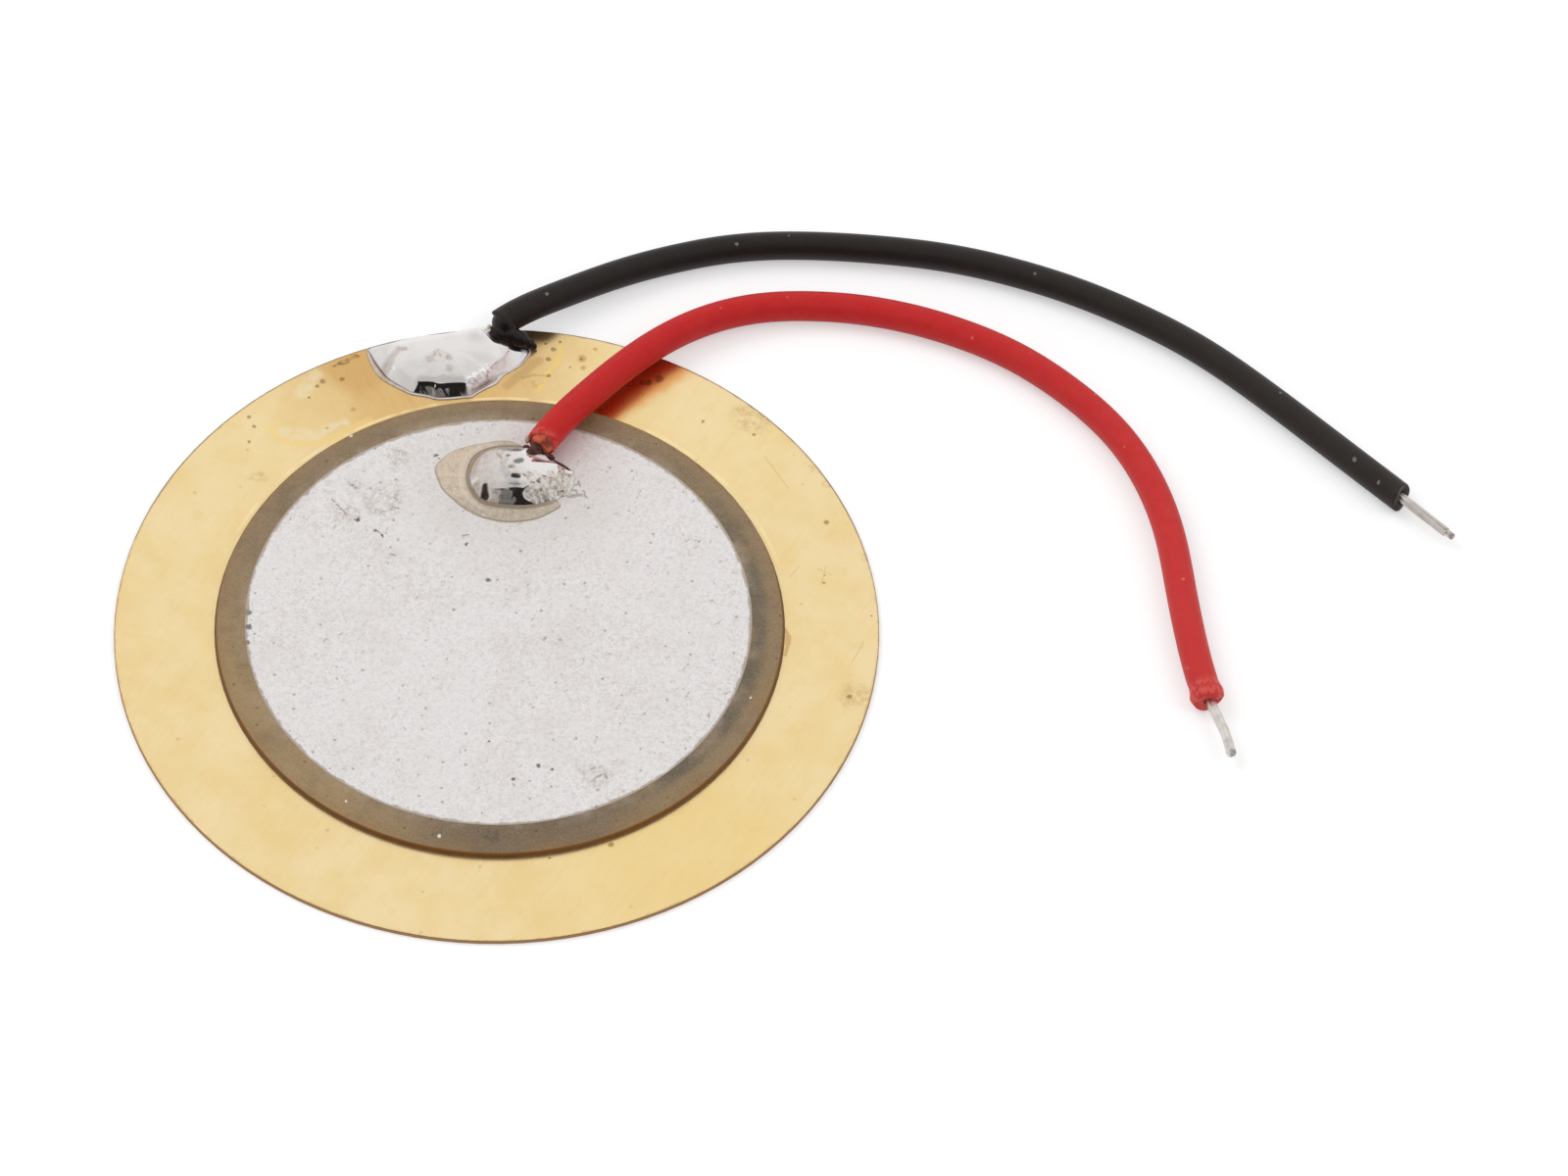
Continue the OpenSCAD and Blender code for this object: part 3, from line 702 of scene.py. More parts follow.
def evenly(points, count):
    """That many points at equal steps round a closed outline."""
    ring = np.concatenate([points, points[:1]])
    run = np.concatenate([[0], np.cumsum(np.linalg.norm(np.diff(ring, axis=0), axis=1))])
    at = np.arange(count) / count * run[-1]
    return np.stack([np.interp(at, run, ring[:, k]) for k in range(ring.shape[1])], 1)


class Axis:
    """A lead's centreline: a natural cubic spline through the route, by its length in mm."""

    FINE = 0.05

    def __init__(self, route, diameter, start_height):
        p = np.array([[x, y, diameter / 2 + share * start_height] for x, y, share in route])
        self.knots = np.concatenate([[0], np.cumsum(np.linalg.norm(np.diff(p, axis=0), axis=1))])
        step = np.diff(self.knots)
        last = len(p) - 1
        system = np.eye(len(p))
        pull = np.zeros((len(p), 3))
        for i in range(1, last):
            system[i, i - 1:i + 2] = step[i - 1], 2 * (step[i - 1] + step[i]), step[i]
            pull[i] = 6 * ((p[i + 1] - p[i]) / step[i] - (p[i] - p[i - 1]) / step[i - 1])
        bend = np.linalg.solve(system, pull)
        self.s = np.arange(0, self.knots[-1], self.FINE)
        i = np.clip(np.searchsorted(self.knots, self.s, "right") - 1, 0, last - 1)
        h = step[i][:, None]
        a = (self.knots[i + 1] - self.s)[:, None] / h
        b = 1 - a
        line = a * p[i] + b * p[i + 1] + ((a**3 - a) * bend[i] + (b**3 - b) * bend[i + 1]) * h**2 / 6
        line[:, 2] = np.maximum(line[:, 2], diameter / 2)
        self.line = line
        along = np.gradient(line, axis=0)
        self.along = along / np.linalg.norm(along, axis=1)[:, None]

    def at(self, s):
        """Points, and the directions along, sideways and up, at lengths s."""
        point, along = (np.stack([np.interp(s, self.s, q[:, k]) for k in range(3)], -1)
                        for q in (self.line, self.along))
        along /= np.linalg.norm(along, axis=-1, keepdims=True)
        side = np.cross(along, [0, 0, 1])
        side /= np.linalg.norm(side, axis=-1, keepdims=True)
        return point, along, side, np.cross(side, along)


def unit(value):
    """A value, held between 0 and 1."""
    return np.clip(value, 0, 1)


def ripple(points, per_mm, seed):
    """Smooth noise from -1 to 1 at each point in plan."""
    return np.array([noise.noise(Vector((*p, 0)) * per_mm + Vector((seed, 0, 0))) for p in points])


def turned(x, y, degrees):
    """A place in plan, turned about Z."""
    turn = math.radians(degrees)
    return x * math.cos(turn) - y * math.sin(turn), x * math.sin(turn) + y * math.cos(turn)


def ring_faces(rings, sides, closed=False):
    """Faces between rings of points, and from the last ring to the first one where closed."""
    return [(k * sides + i, k * sides + (i + 1) % sides,
             (k + 1) % rings * sides + (i + 1) % sides, (k + 1) % rings * sides + i)
            for k in range(rings if closed else rings - 1) for i in range(sides)]


SLEEVE_SIDES = 40


def sleeve(name, axis, first, last, radius, bore, flare, near_cut, far_cut, swell, finish, nodes):
    """A hollow sleeve along an axis, from length first to last, whose bore widens by flare at its
    mouth. near_cut and far_cut shift the end faces along the axis at each angle round it, and
    swell widens the skin near the far end."""
    angle = np.arange(SLEEVE_SIDES) / SLEEVE_SIDES * 2 * math.pi
    length = last - first
    rim = [(0, radius - 0.05), (0.012, radius - 0.018), (0.05, radius)]
    body = [(s, radius) for s in np.linspace(0.1, length - 0.1, round(length / 0.22))]
    inner = [(s, bore) for s in np.linspace(length - 0.03, 1, round(length / 0.8))]
    mouth = [(s, bore + flare * bell(s, 0, 0.35)) for s in (0.7, 0.5, 0.35, 0.2, 0.1, 0.03)]
    mouth.append((0, bore + flare + 0.02))
    far_rim = [(length - s, r) for s, r in reversed(rim)] + [(length, bore + 0.02)]
    profile = rim + body + far_rim + inner + mouth
    points, around_and_along = [], []
    for s, r in profile:
        shift = near_cut(angle) * bell(s, 0, 0.5) + far_cut(angle) * bell(s, length, 0.5)
        point, along, side, up = axis.at(first + s + 0 * angle)
        wide = r * (1 + swell(length - s, angle)) if r > radius - 0.1 else r
        out = side * np.sin(angle)[:, None] + up * np.cos(angle)[:, None]
        points.append(point + out * np.broadcast_to(wide, angle.shape)[:, None] + along * shift[:, None])
        around_and_along.append(np.stack([angle * radius, np.full(SLEEVE_SIDES, s)], 1))
    faces = ring_faces(len(profile), SLEEVE_SIDES, closed=True)
    points = np.concatenate(points)
    points[:, 2] = np.maximum(points[:, 2], 0)
    piece = new_piece(name, points, faces, finish, nodes)
    uv = piece.data.uv_layers.new(name="around_and_along")
    corners = [loop.vertex_index for loop in piece.data.loops]
    uv.data.foreach_set("uv", np.concatenate(around_and_along)[corners].ravel())
    return piece


def bulges(points, *humps):
    """Soft humps on points in plan, each (x, y, x radius, y radius, height), or dents below 0."""
    return sum(height * np.exp(-((points[:, 0] - x) / wide) ** 2 - ((points[:, 1] - y) / deep) ** 2)
               for x, y, wide, deep, height in humps)


def bell(value, middle, wide):
    """1 at the middle, falling away to 0 over about twice wide on each side."""
    return np.exp(-((value - middle) / wide) ** 2)


def window(value, low, high, soft):
    """1 from low to high, falling to 0 over soft beyond them."""
    return unit((value - low) / soft + 1) * unit((high - value) / soft + 1)


def lower(a, b, soft):
    """The lower of two heights, with the edge where they meet eased."""
    return -soft * np.logaddexp(-a / soft, -b / soft)


MOUND_RINGS = 72
RIM_SIDES = 420
RIM_BACK_SIDES = 23
DOME_SIDES = 360
DOME_FOOT_POINTS = 600
FLUX_SIDES = 240


def mound(name, outline, peak, shape, base_z, place, finish, nodes):
    """A closed mound. shape(points, share, inset) gives its height at points in plan, and a dict of
    what the mesh keeps for its finish. share is 0 at the peak and 1 at the outline, and inset is the
    distance in from the outline. place turns points in plan into points in the frame."""
    rings, n = MOUND_RINGS, len(outline)
    share = 1 - (np.arange(rings) / rings) ** 1.5
    reach = np.linalg.norm(outline - peak, axis=1)
    plan, shares, insets = [], [], []
    for t in share:
        plan.append(peak + (outline - peak) * t)
        shares.append(np.full(n, t))
        insets.append((1 - t) * reach)
    plan.append(np.array([peak, peak], float))
    shares.append([0, 0])
    insets.append([reach.mean()] * 2)
    plan, shares, insets = (np.concatenate(q) for q in (plan, shares, insets))
    height, keep = shape(plan, shares, insets)
    z = base_z + height
    z[:n] = base_z
    z[-1] = base_z
    top, middle = rings * n, rings * n + 1
    faces = ring_faces(rings, n)
    faces += [((rings - 1) * n + i, (rings - 1) * n + (i + 1) % n, top) for i in range(n)]
    faces += [((i + 1) % n, i, middle) for i in range(n)]
    points = np.column_stack([place(plan), z])
    return new_piece(name, points, faces, finish, nodes, keep)


def crowned(height, base, share, inset, steep):
    """The mounds' common shape: a soft crown that breaks into a steep wall at its foot."""
    crown = base + (height - base) * (1 - unit(share) ** 2)
    return lower(crown, steep * inset, 0.008), unit((crown - steep * inset) / 0.03)


# ---------------------------------------------------------------------------------------------
# Camera and surroundings.
CAMERA_ELEVATION = math.radians(52.89)
CAMERA_ROLL = math.radians(1.66)
CAMERA_DISTANCE = 0.3025
CAMERA_SLIDE = (0.010134, 0.001471)
CAMERA_LENS = 196.65
CAMERA_SENSOR = 36


def place_camera():
    """Looks down on the disc from the front, and slides right to take in the leads."""
    back = Vector((0, -math.cos(CAMERA_ELEVATION), math.sin(CAMERA_ELEVATION)))
    level = Vector((1, 0, 0))
    upright = back.cross(level)
    right = level * math.cos(CAMERA_ROLL) + upright * math.sin(CAMERA_ROLL)
    up = back.cross(right)
    camera = in_scene("camera", bpy.data.cameras.new("camera"))
    camera.data.lens = CAMERA_LENS
    camera.data.sensor_width = CAMERA_SENSOR
    camera.data.clip_start = 0.01
    place = Matrix((right, up, back)).transposed().to_4x4()
    place.translation = back * CAMERA_DISTANCE + right * CAMERA_SLIDE[0] + up * CAMERA_SLIDE[1]
    camera.matrix_world = place
    bpy.context.scene.camera = camera


WORLD_LIGHT = 0.62
FLOOR_DROP = 0.00002
FLOOR_SIZE = 3
TABLE_WHITE = 0.72
TABLE_GLOW = 0.42
OPENING_WIDE = 0.9
OPENING_HIGH = 0.6
OPENING_AWAY = 0.7
OPENING_ELEVATION = math.radians(29)


def seen_directly(tree):
    """1 for rays that show the surroundings: camera, mirror and see-through rays."""
    camera, glossy, through = (tree.add("ShaderNodeLightPath", out=f"Is {kind} Ray")
                               for kind in ("Camera", "Glossy", "Transmission"))
    return camera.maths("MAXIMUM", camera.maths("MAXIMUM", camera, glossy), through)


def light_world():
    """A white tent, which mirrors see a little darker towards the south."""
    world = bpy.data.worlds.new("white_tent")
    world.use_nodes = True
    bpy.context.scene.world = world
    tree = Tree(world.node_tree)
    background = world.node_tree.nodes["Background"]
    background.inputs["Color"].default_value = (1, 1, 1, 1)
    north = tree.part(tree.add("ShaderNodeTexCoord", out="Generated"), "Y")
    mirrored = 0.86 + north * 0.24
    mirrored = mirrored.maths("MINIMUM", mirrored, 1)
    camera = tree.add("ShaderNodeLightPath", out="Is Camera Ray")
    seen = mirrored + camera * (1 - mirrored)
    shown = seen_directly(tree)
    strength = shown * seen + (1 - shown) * WORLD_LIGHT
    world.node_tree.links.new(strength.output, background.inputs["Strength"])


def soft_lamp(name, place, size, watts):
    """A square soft box that faces the disc, and that mirrors don't show."""
    lamp = bpy.data.lights.new(name, "AREA")
    lamp.size = size
    lamp.energy = watts
    box = in_scene(name, lamp)
    box.location = place
    box.rotation_mode = "QUATERNION"
    box.rotation_quaternion = Vector(place).to_track_quat("Z", "Y")
    box.visible_glossy = False


def sheet(name, wide, deep, z, finish):
    """A flat rectangle about the origin, at height z."""
    x, y = wide / 2, deep / 2
    mesh = bpy.data.meshes.new(name)
    mesh.from_pydata([(-x, -y, z), (x, -y, z), (x, y, z), (-x, y, z)], [], [(0, 1, 2, 3)])
    mesh.materials.append(finish)
    return in_scene(name, mesh)


def lay_floor():
    """White table top. A share of its white is its own glow, which shadows leave alone."""
    f = Finish("white_table", Roughness=0.9, Specular_IOR_Level=0,
               Base_Color=(TABLE_WHITE, TABLE_WHITE, TABLE_WHITE, 1), Emission_Color=(1, 1, 1, 1))
    glow = seen_directly(f) * TABLE_GLOW
    f.tree.links.new(glow.output, f.shader.inputs["Emission Strength"])
    sheet("table_top", FLOOR_SIZE, FLOOR_SIZE, -FLOOR_DROP, f.material)


def hang_dark_card():
    """The dark opening of the tent that the camera looks through. Only mirrors show it."""
    f = Finish("tent_opening", Roughness=1, Specular_IOR_Level=0, Base_Color=(0.03, 0.027, 0.025, 1))
    card = sheet("tent_opening", OPENING_WIDE, OPENING_HIGH, 0, f.material)
    back = Vector((0, -math.cos(OPENING_ELEVATION), math.sin(OPENING_ELEVATION)))
    card.location = back * OPENING_AWAY
    card.rotation_mode = "QUATERNION"
    card.rotation_quaternion = back.to_track_quat("Z", "Y")
    card.visible_camera = False
    card.visible_diffuse = False
    card.visible_shadow = False
    card.visible_transmission = False


# ---------------------------------------------------------------------------------------------
# Leads.
SLEEVE_BORE = 0.2
RED_FLARE = 0.2
STRAND_COUNT = 5
STRAND_R = 0.08 * MM
STRAND_SIDES = 10
WIRE_STEP = 0.2
CORD_POINTS = 80


def strand_tree():
    """Twisted strands round a core, along a curve, with frayed far ends."""
    group = bpy.data.node_groups.new("strand_bundle", "GeometryNodeTree")
    face = group.interface
    face.new_socket("Geometry", in_out="INPUT", socket_type="NodeSocketGeometry")
    for name in ("Strands", "Seed"):
        face.new_socket(name, in_out="INPUT", socket_type="NodeSocketInt")
    for name in ("Pitch Radius", "Strand Radius", "Core Radius", "Lay Length", "Length", "Fray"):
        face.new_socket(name, in_out="INPUT", socket_type="NodeSocketFloat")
    face.new_socket("Finish", in_out="INPUT", socket_type="NodeSocketMaterial")
    face.new_socket("Geometry", in_out="OUTPUT", socket_type="NodeSocketGeometry")
    tree = Tree(group)
    given = tree.add("NodeGroupInput").output.node
    value = {socket.name: Socket(tree, socket) for socket in given.outputs}
    copies = tree.add("GeometryNodeDuplicateElements",
                      {"Geometry": value["Geometry"], "Amount": value["Strands"]}, domain="SPLINE")
    index = Socket(tree, copies.output.node.outputs["Duplicate Index"])
    run = tree.add("GeometryNodeSplineParameter", out="Length")
    turn = (index / value["Strands"] + run / value["Lay Length"]) * (2 * math.pi)
    normal = tree.add("GeometryNodeInputNormal")
    tangent = tree.add("GeometryNodeInputTangent")
    across = tree.vector("CROSS_PRODUCT", tangent, normal)
    out = tree.scaled(normal, turn.maths("COSINE", turn) * value["Pitch Radius"])
    over = tree.scaled(across, turn.maths("SINE", turn) * value["Pitch Radius"])
    offset = tree.vector("ADD", out, over)
    helix = tree.add("GeometryNodeSetPosition", {"Geometry": copies, "Offset": offset})
    inputs = {2: 0, 3: value["Fray"], "ID": index, "Seed": value["Seed"]}
    short = tree.add("FunctionNodeRandomValue", inputs, out=1)
    trimmed = tree.add("GeometryNodeTrimCurve",
                       {"Curve": helix, "End_001": value["Length"] - short}, mode="LENGTH")
    solids = []
    for curve, radius in ((trimmed, "Strand Radius"), (value["Geometry"], "Core Radius")):
        inputs = {"Resolution": STRAND_SIDES, "Radius": value[radius]}
        circle = tree.add("GeometryNodeCurvePrimitiveCircle", inputs)
        inputs = {"Curve": curve, "Profile Curve": circle, "Fill Caps": True}
        solids.append(tree.add("GeometryNodeCurveToMesh", inputs))
    joined = tree.add("GeometryNodeJoinGeometry")
    for solid in reversed(solids):
        group.links.new(solid.output, joined.output.node.inputs[0])
    smooth = tree.add("GeometryNodeSetShadeSmooth", {"Geometry": joined})
    real = tree.add("GeometryNodeRealizeInstances", {"Geometry": smooth})
    done = tree.add("GeometryNodeSetMaterial", {"Geometry": real, "Material": value["Finish"]})
    leave = group.nodes.new("NodeGroupOutput")
    group.links.new(done.output, leave.inputs[0])
    return group


def wire(name, tree, axis, nodes, finish, **settings):
    """A tinned conductor, as a plain mesh that the strand tree made along an axis."""
    line = axis.line[::round(WIRE_STEP / axis.FINE)] * MM
    curve = bpy.data.curves.new(name, "CURVE")
    curve.dimensions = "3D"
    spline = curve.splines.new("POLY")
    spline.points.add(len(line) - 1)
    spline.points.foreach_set("co", np.column_stack([line, np.ones(len(line))]).ravel())
    source = in_scene(name + "_line", curve)
    modifier = source.modifiers.new("strands", "NODES")
    modifier.node_group = tree
    length = np.linalg.norm(np.diff(line, axis=0), axis=1).sum()
    given = {"Finish": finish, "Length": length, "Strands": STRAND_COUNT,
             "Strand Radius": STRAND_R, **settings}
    for item in tree.interface.items_tree:
        if item.in_out == "INPUT" and item.name in given:
            modifier[item.identifier] = given[item.name]
    bpy.context.view_layer.update()
    return settle(in_scene(name, made_mesh(name, source)), nodes)


def make_black_lead(tree, tin):
    """The black sleeve over its strands, cut a little askew at both ends."""
    axis = Axis(BLACK_ROUTE, BLACK_D, PLATE_TOP + BLACK_LIFT)
    first, last = axis.knots[SLEEVE_START], axis.knots[-1 - BLACK_TIP_POINTS]
    skin = sleeve("black_lead_sleeve", axis, first, last, BLACK_D / 2, SLEEVE_BORE, 0,
                  lambda a: -0.06 * np.cos(a + 0.9) + 0.04 * np.cos(3 * a),
                  lambda a: -0.1 * np.cos(a + 0.6) + 0.02 * np.sin(3 * a),
                  lambda s, a: 0.02 * bell(s, 0, 0.15) * np.cos(2 * a),
                  black_vinyl(), ["black_insulation"])
    inside = wire("black_lead_wire", tree, axis, ["black_conductor"], tin, Seed=3, Fray=0.00035,
                  **{"Pitch Radius": 0.000105, "Core Radius": 0.000125, "Lay Length": 0.024})
    declare_lead(axis, first, last)


def make_red_lead(tree, tin):
    """The red sleeve over its strands, flared at the joint and swollen by heat near its free end."""
    axis = Axis(RED_ROUTE, RED_D, FILM_TOP + RED_LIFT)
    first, last = axis.knots[SLEEVE_START], axis.knots[-1 - RED_TIP_POINTS]
    skin = sleeve("red_lead_sleeve", axis, first, last, RED_D / 2, SLEEVE_BORE, RED_FLARE,
                  lambda a: 0.13 * np.cos(a - 0.6) - 0.17 + 0.025 * np.sin(3 * a),
                  lambda a: 0.04 * np.cos(a) + 0.05 * np.cos(2 * a + 1),
                  lambda s, a: 0.13 * bell(s, 0.3, 0.22) * (1 + 0.3 * np.sin(a))
                  - 0.07 * bell(s, 0, 0.08) - 0.03 * bell(s, 0.68, 0.12),
                  red_vinyl(), ["red_insulation"])
    inside = wire("red_lead_wire", tree, axis, ["red_conductor"], tin, Seed=5, Fray=0.00005,
                  **{"Pitch Radius": 0.00011, "Core Radius": 0.000155, "Lay Length": 0.03})
    declare_lead(axis, first, last)


def declare_lead(axis, first, last):
    """Works out points along a lead's axis, from length first to last; nothing is done with them."""
    line = axis.at(np.linspace(first, last, CORD_POINTS))[0] * MM


# ---------------------------------------------------------------------------------------------
# Solder joints.
def rim_outline():
    """The rim solder's outline, in the frame that it is drawn in."""
    r = PLATE_R - RIM_SETBACK
    u = np.linspace(RIM_BACK_FROM, RIM_BACK_TO, RIM_BACK_SIDES + 1)
    back = np.column_stack([u, np.sqrt(r * r - u * u) - PLATE_R])
    front = smooth_curve([back[-1], *RIM_FRONT, back[0]], False)
    front *= 1 + 0.012 * ripple(front, 1.6, 5)[:, None]
    return evenly(np.concatenate([front, back[:-1]]), RIM_SIDES)


def rim_shape(points, share, inset):
    """A lip of solder skin about a smooth mound, with a steep wrinkled wall in front, a valley on
    the left, a crumpled right foot and a neck that climbs the wire."""
    x, y = points.T
    along = to_rim(points)[:, 0]
    reach = inset / np.maximum(1 - share, 1e-6)
    lip = 0.1 + bulges(points, (-2.6, -1.6, 0.8, 1, 0.13), (1.8, -2.5, 0.7, 0.5, 0.12))
    lip *= np.clip((-0.3 - y - 0.2 * (x > 1.8)) / 0.4, 0.15, 1)
    across = unit(inset / lip)
    lip_top = (0.012 + 0.04 * np.sqrt(1 - (2 * across - 1) ** 2)) * unit(inset / 0.01)
    climb = np.clip(inset - lip, 0, None)
    steep = np.interp(along, [-4.3, -3.3, -1, 0.1], [0.8, 1.25, 1.25, 0.45])
    z, wall = crowned(RIM_H, 0.205, 1 - climb / np.maximum(reach - lip, 0.1), climb, steep)
    z += bulges(points, (-2.35, -1.5, 0.18, 0.7, -0.05), (-1.95, -1.75, 0.22, 0.6, 0.03),
                (-0.25, -1.85, 0.14, 0.14, -0.02), (1.6, -1.3, 0.9, 0.7, 0.03))
    z += bulges(points, (0.98, -0.72, 0.5, 0.38, 0.3)) * unit(inset / 0.2)
    front = unit((-1.2 - y) / 0.2)
    low = front * wall * unit((0.225 - climb) / 0.03) * unit(climb / 0.02)
    slanting = np.column_stack([x + 0.55 * y, 0.3 * y])
    folds = ripple(slanting, 7, 7) + 0.6 * ripple(slanting, 13, 8)
    # Crumpled wall, also painted dark grey in place of the dark opening that it would mirror.
    crumple_and_painted_dark = low * window(along, -3.15, -2.25, 0.1) * unit(0.45 + 1.8 * folds)
    z += crumple_and_painted_dark * 0.03 * folds
    # Painted highlights: pale streaks in the low wall, where it would mirror the dark opening.
    pale = window(along, -1.75, -1.3, 0.05) + window(along, -2.75, -2.25, 0.05)
    pale *= low * unit(3 * folds - 0.4)
    inside = unit(climb / 0.08) * front
    torn_and_painted_pale = inside * window(along, -1.5, -0.35, 0.06) * unit((0.42 - climb) / 0.08)
    z += torn_and_painted_pale * 0.02 * ripple(points, 4, 3)
    foot = inside * window(along, -1.5, -0.6, 0.1) * unit((0.25 - climb) / 0.06)
    # Painted pale cover where the solder would mirror the red lead.
    painted_pale_cover = inside * window(along, -0.5, 0.6, 0.2) * unit((0.3 - climb) / 0.1)
    painted_pale_cover += bulges(points, (1.75, -1.8, 0.32, 0.3, 1.6), (1.2, -0.78, 0.2, 0.2, 1.5))
    # The crease's dark line is brown flux with painted shade in the groove, and a painted dark line runs
    # along the torn foot too.
    wide = 0.018 + bulges(points, (-2.7, -1.5, 0.6, 0.8, 0.03))
    crease_flux_and_shade = bell(inset, lip, wide) * (lip > 0.06)
    crease_flux_and_shade += 0.4 * bell(inset, 0, 0.07) * (lip <= 0.06) + 0.3 * bell(inset, 0, 0.015)
    dark_foot_line = inside * window(along, -1.2, -0.2, 0.2) * window(climb, 0.03, 0.08, 0.04) * 0.7
    return np.maximum(z, lip_top), {
        "crease_flux_and_shade": unit(crease_flux_and_shade + dark_foot_line), "crumple_and_painted_dark": crumple_and_painted_dark, "skin": unit(painted_pale_cover),
        "torn_and_painted_pale": np.maximum(np.maximum(torn_and_painted_pale, foot * 0.8), pale),
        "painted_glint": inside * window(along, -1.55, -0.4, 0.1) * window(climb, 0.2, 0.5, 0.08),
        "lip": (inset < lip * 0.9) * (lip > 0.06) * 1.0}


def to_rim(points):
    """From the rim solder's drawing to the frame."""
    return np.column_stack(turned(points[:, 0], points[:, 1] + PLATE_R, RIM_ANGLE - 90))


def dome_shape(points, share, inset):
    """A dome with dents in its crown, a notch, a ridge, a collar at the wire and a grainy right end."""
    x, y = points.T
    fade = unit(inset / 0.2)
    z, wall = crowned(DOME_H, 0.22, share, inset, np.interp(x, [0.9, 1.9], [1.25, 0.5]))
    z += fade * bulges(points, (0.01, 0.11, 0.16, 0.09, -0.05), (-0.4, 0.43, 0.08, 0.06, -0.03),
                       (-0.07, -0.47, 0.19, 0.07, -0.06), (-0.1, -0.68, 0.5, 0.1, 0.03),
                       (-1.15, -1.02, 0.18, 0.14, -0.09), (-0.95, -0.2, 0.35, 0.5, -0.02),
                       (0.5, 0.95, 0.3, 0.2, 0.08))
    z += fade * 0.03 * ripple(points, 1.4, 2)
    ragged = ripple(points, 4, 31)
    edges = ripple(points, 7, 32)
    # A crumpled grey patch on the wall, painted dark in place of the dark opening it would mirror.
    crumple_and_painted_dark = bulges(points, (-0.42, -1.12, 0.36, 0.25, 5)) - 2.4 + 2 * ragged + 1.5 * edges
    crumple_and_painted_dark = wall * fade * unit(crumple_and_painted_dark)
    z += crumple_and_painted_dark * 0.03 * ragged
    # Painted highlight: the wall between the notch and the dark patch, made pale where it would mirror the
    # dark opening.
    bright = wall * window(x - 0.3 * y, -9, -0.35, 0.1) * window(y, -2, -0.5, 0.1)
    bright *= 1 - unit(bulges(points, (-1.17, -0.98, 0.16, 0.15, 3)))
    top = -0.5 + 0.8 * unit(x - 0.9)
    pinch = 0.36 * bell(y, -1.03, 0.11)
    grain = fade * window(x + 0.5 * y + 0.15 * ragged + pinch, 0, 9, 0.06)
    grain = grain * unit((top + 0.35 * ragged + 0.2 * edges - y) / 0.06 + 1)
    z += grain * (0.04 * ripple(points, 3, 11) + 0.03 * ripple(points, 7, 12) - 0.03)
    # Painted pale cover where the dome would mirror the red lead.
    painted_pale_cover = bulges(points, (0.55, 0.85, 0.42, 0.3, 1.8), (1.1, 0.6, 0.42, 0.22, 1.8))
    return z.clip(0), {
        "crease_flux_and_shade": 0.6 * bell(inset, 0.01, 0.025), "crumple_and_painted_dark": crumple_and_painted_dark, "skin": unit(painted_pale_cover),
        "torn_and_painted_pale": np.maximum(grain, bright * 0.8), "painted_glint": grain * 0.5,
        "matt": unit(0.25 - x * 0.6) * unit(1.3 - wall)}


def at_film_joint(points):
    """From the film joint's drawing to the frame."""
    return points + np.array(FILM_JOINT)


def make_solder(finish):
    """The mound on the plate's rim, and the dome on the film."""
    mound("rim_solder_joint", rim_outline(), np.array(RIM_PEAK), rim_shape, PLATE_TOP, to_rim,
          finish, ["rim_solder"])
    outline = evenly(smooth_curve(DOME_OUTLINE, True), DOME_SIDES)
    outline *= 1 + (0.05 * ripple(outline, 4, 9) * unit(outline[:, 0]))[:, None]
    mound("film_solder_joint", outline, np.array(DOME_PEAK), dome_shape, FILM_TOP, at_film_joint,
          finish, ["electrode_solder"])


def make_flux():
    """Thin residue round the film solder, rising in a bank against it."""
    outline = evenly(smooth_curve(FLUX_OUTLINE, True), FLUX_SIDES)
    outline *= 1 + 0.02 * ripple(outline, 1.2, 21)[:, None]
    foot = evenly(smooth_curve(DOME_OUTLINE, True), DOME_FOOT_POINTS)

    def shape(points, share, inset):
        x, y = points.T
        gap = np.array([np.min(np.hypot(*(foot - p).T)) for p in points])
        thick = np.clip(0.75 - x * 0.3 - y * 0.1, 0.25, 1)
        z = (0.02 + 0.02 * thick) * unit(inset / 0.06) ** 0.5
        z += 0.08 * thick * bell(gap, 0, 0.1) * unit(inset / 0.1)
        wide = 0.07 + 0.05 * unit(-y)
        # Where the flux meets the solder: thick flux with painted shade in the corner.
        fillet = unit((wide - gap) / 0.04) * unit(thick * 1.4)
        left = unit(-0.6 - x)
        # Painted highlight along a ridge of the flux.
        ridge = bell(gap, 0.26, 0.06) * left * unit(inset / 0.1)
        return z, {"fillet": fillet, "ridge": ridge, "rim": bell(inset, 0.03, 0.03)}

    mound("flux_ring", outline, np.array(DOME_PEAK), shape, FILM_TOP, at_film_joint,
          flux(), ["flux_residue"])


def fused(name, lumps, voxel, finish):
    """Ellipsoids, each (centre, radii, turn about Z in degrees), fused and smoothed into one skin."""
    rings, sides = 14, 24
    points, faces = [], []
    for centre, radii, turn in lumps:
        faces += [(len(points) + a, len(points) + d, len(points) + c, len(points) + b)
                  for a, b, c, d in ring_faces(rings + 1, sides)]
        for i in range(rings + 1):
            for j in range(sides):
                lat, lon = math.pi * i / rings, 2 * math.pi * j / sides
                x, y = turned(radii[0] * math.sin(lat) * math.cos(lon),
                              radii[1] * math.sin(lat) * math.sin(lon), turn)
                points.append((centre[0] + x, centre[1] + y, centre[2] + radii[2] * math.cos(lat)))
    mesh = bpy.data.meshes.new(name)
    mesh.from_pydata((np.array(points) * MM).tolist(), [], faces)
    source = in_scene(name + "_lumps", mesh)
    fuse = source.modifiers.new("fuse", "REMESH")
    fuse.mode = "VOXEL"
    fuse.voxel_size = voxel * MM
    ease = source.modifiers.new("ease", "SMOOTH")
    ease.iterations = 14
    mesh = made_mesh(name, source)
    mesh.materials.clear()
    mesh.materials.append(finish)
    mesh.shade_smooth()
    return settle(in_scene(name, mesh), [])


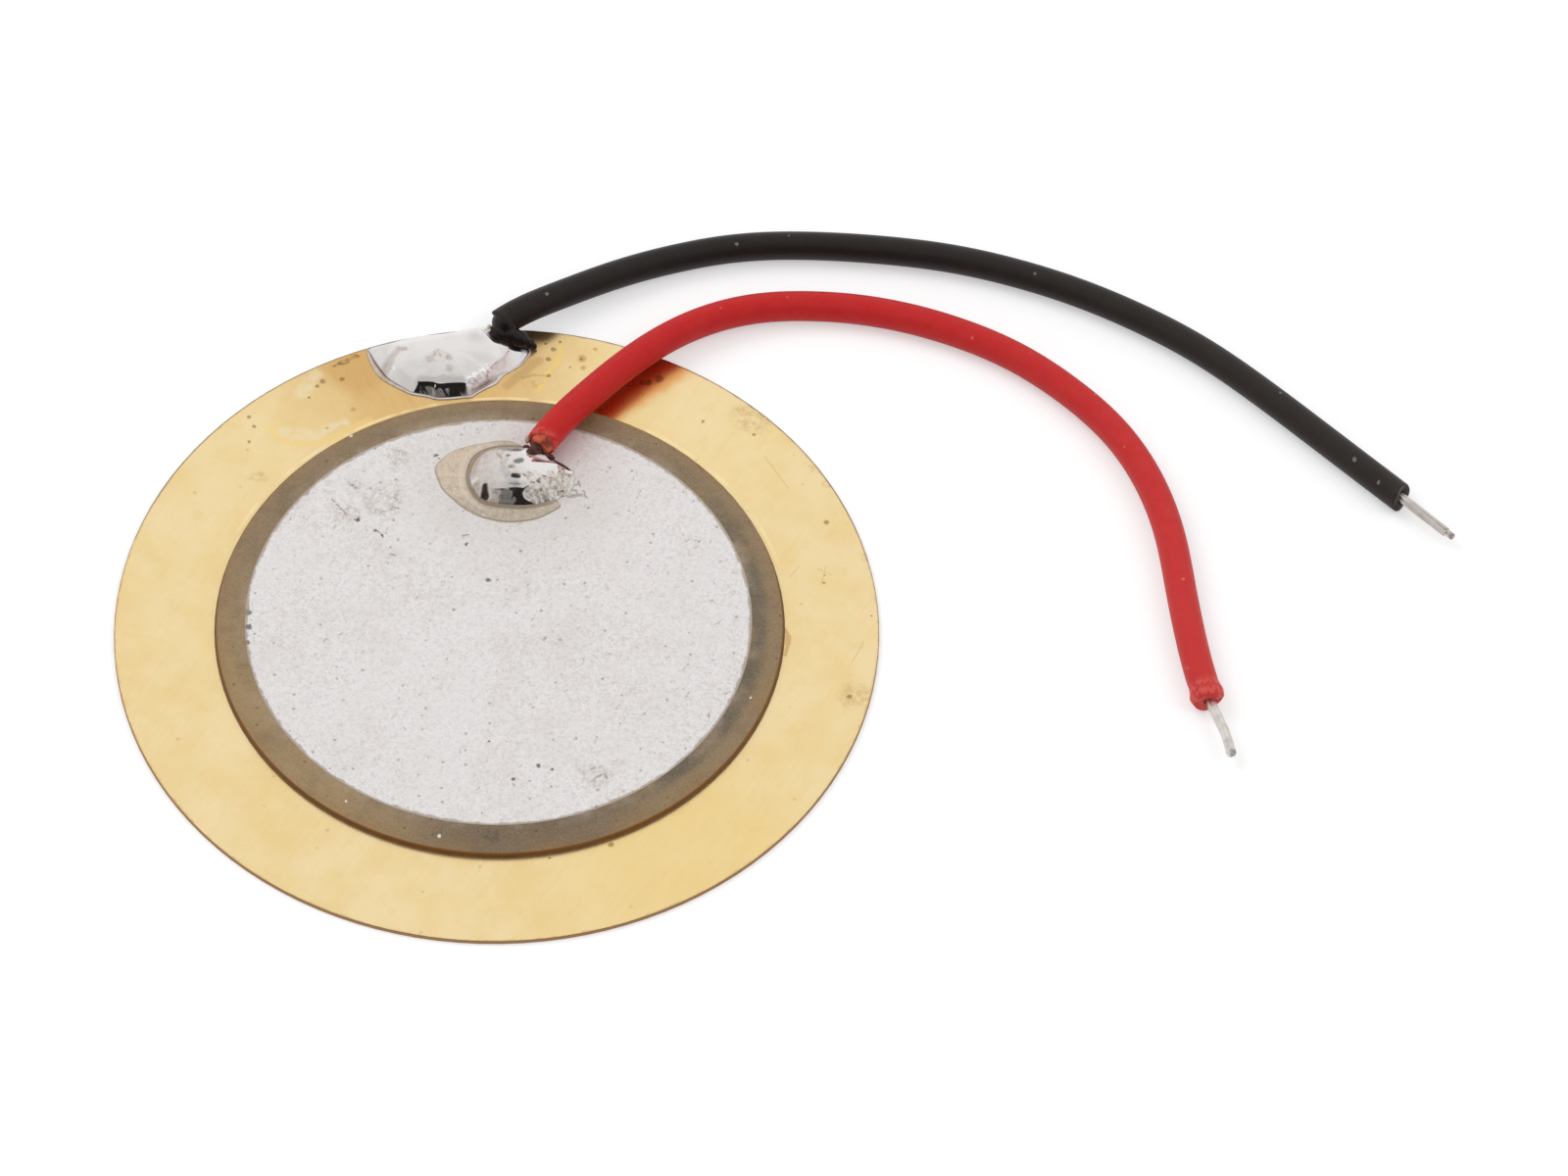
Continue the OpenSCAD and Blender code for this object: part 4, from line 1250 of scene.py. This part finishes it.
def make_melt(crust):
    """The black sleeve's melted end, which ran down onto the rim solder, and a crust of flux on it."""
    fused("flux_crust", [((-0.84, 12.93, 0.86), (0.08, 0.12, 0.2), 0)], 0.02, crust)
    fused("black_melt", [
        ((-0.3, 13.15, 0.88), (0.45, 0.5, 0.5), 35), ((-0.48, 12.83, 0.73), (0.38, 0.38, 0.4), 20),
        ((-0.1, 12.78, 0.68), (0.5, 0.37, 0.37), -10), ((0.22, 12.75, 0.55), (0.42, 0.32, 0.32), -20),
        ((0.5, 12.72, 0.38), (0.34, 0.22, 0.22), -25), ((0.73, 12.67, 0.28), (0.2, 0.13, 0.14), -30)],
        0.03, melted_vinyl())


def make_red_joint(crust):
    """Burnt flux where the red conductor enters the solder, running on as a dark strip along the dome's edge
    that is painted shade of the red lead, rosin in the sleeve's mouth, and a crust of dried flux on its lip."""
    # The last two lumps lie along the dome's edge: a dark strip that is painted shade of the red lead.
    fused("burnt_flux_collar_and_shade_strip", [
        ((1.1, 7.37, 0.97), (0.28, 0.24, 0.28), 40), ((0.94, 7.19, 0.92), (0.28, 0.23, 0.28), 40),
        ((0.74, 7.52, 0.82), (0.16, 0.12, 0.16), -20), ((1.4, 7.33, 0.72), (0.42, 0.15, 0.17), -28),
        ((1.95, 7.08, 0.48), (0.48, 0.07, 0.09), -32)],
        0.025, burnt_flux_and_shade())
    fused("lip_crust", [((0.77, 7.83, 0.96), (0.1, 0.18, 0.15), -20)], 0.02, crust)
    fused("rosin_plug", [
        ((1.34, 7.7, 1.05), (0.28, 0.47, 0.47), 54.7), ((1.24, 7.56, 0.98), (0.18, 0.42, 0.42), 54.7)],
        0.025, rosin())


# ---------------------------------------------------------------------------------------------
# The disc with its lights and its table.
def dress(node, finish):
    """Gives a CAD node its finish."""
    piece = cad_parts[node]
    piece.data.materials.clear()
    piece.data.materials.append(finish)


bpy.context.scene.view_settings.view_transform = "Standard"
place_camera()
strands = strand_tree()
tin = tinned_wire()
make_black_lead(strands, tin)
make_red_lead(strands, tin)
crust = dried_flux()
make_melt(crust)
make_red_joint(crust)
make_solder(solder())
make_flux()
dress("brass_plate", brass())
dress("piezo_ceramic", ceramic())
dress("bond_layer", glue())
film = silver_film()
dress("upper_electrode", film)
dress("lower_electrode", film)
light_world()
soft_lamp("left_soft_box", (-0.45, 0.25, 0.6), size=0.5, watts=1.6)
soft_lamp("right_soft_box", (0.5, -0.1, 0.55), size=0.5, watts=0.8)
lay_floor()
hang_dark_card()
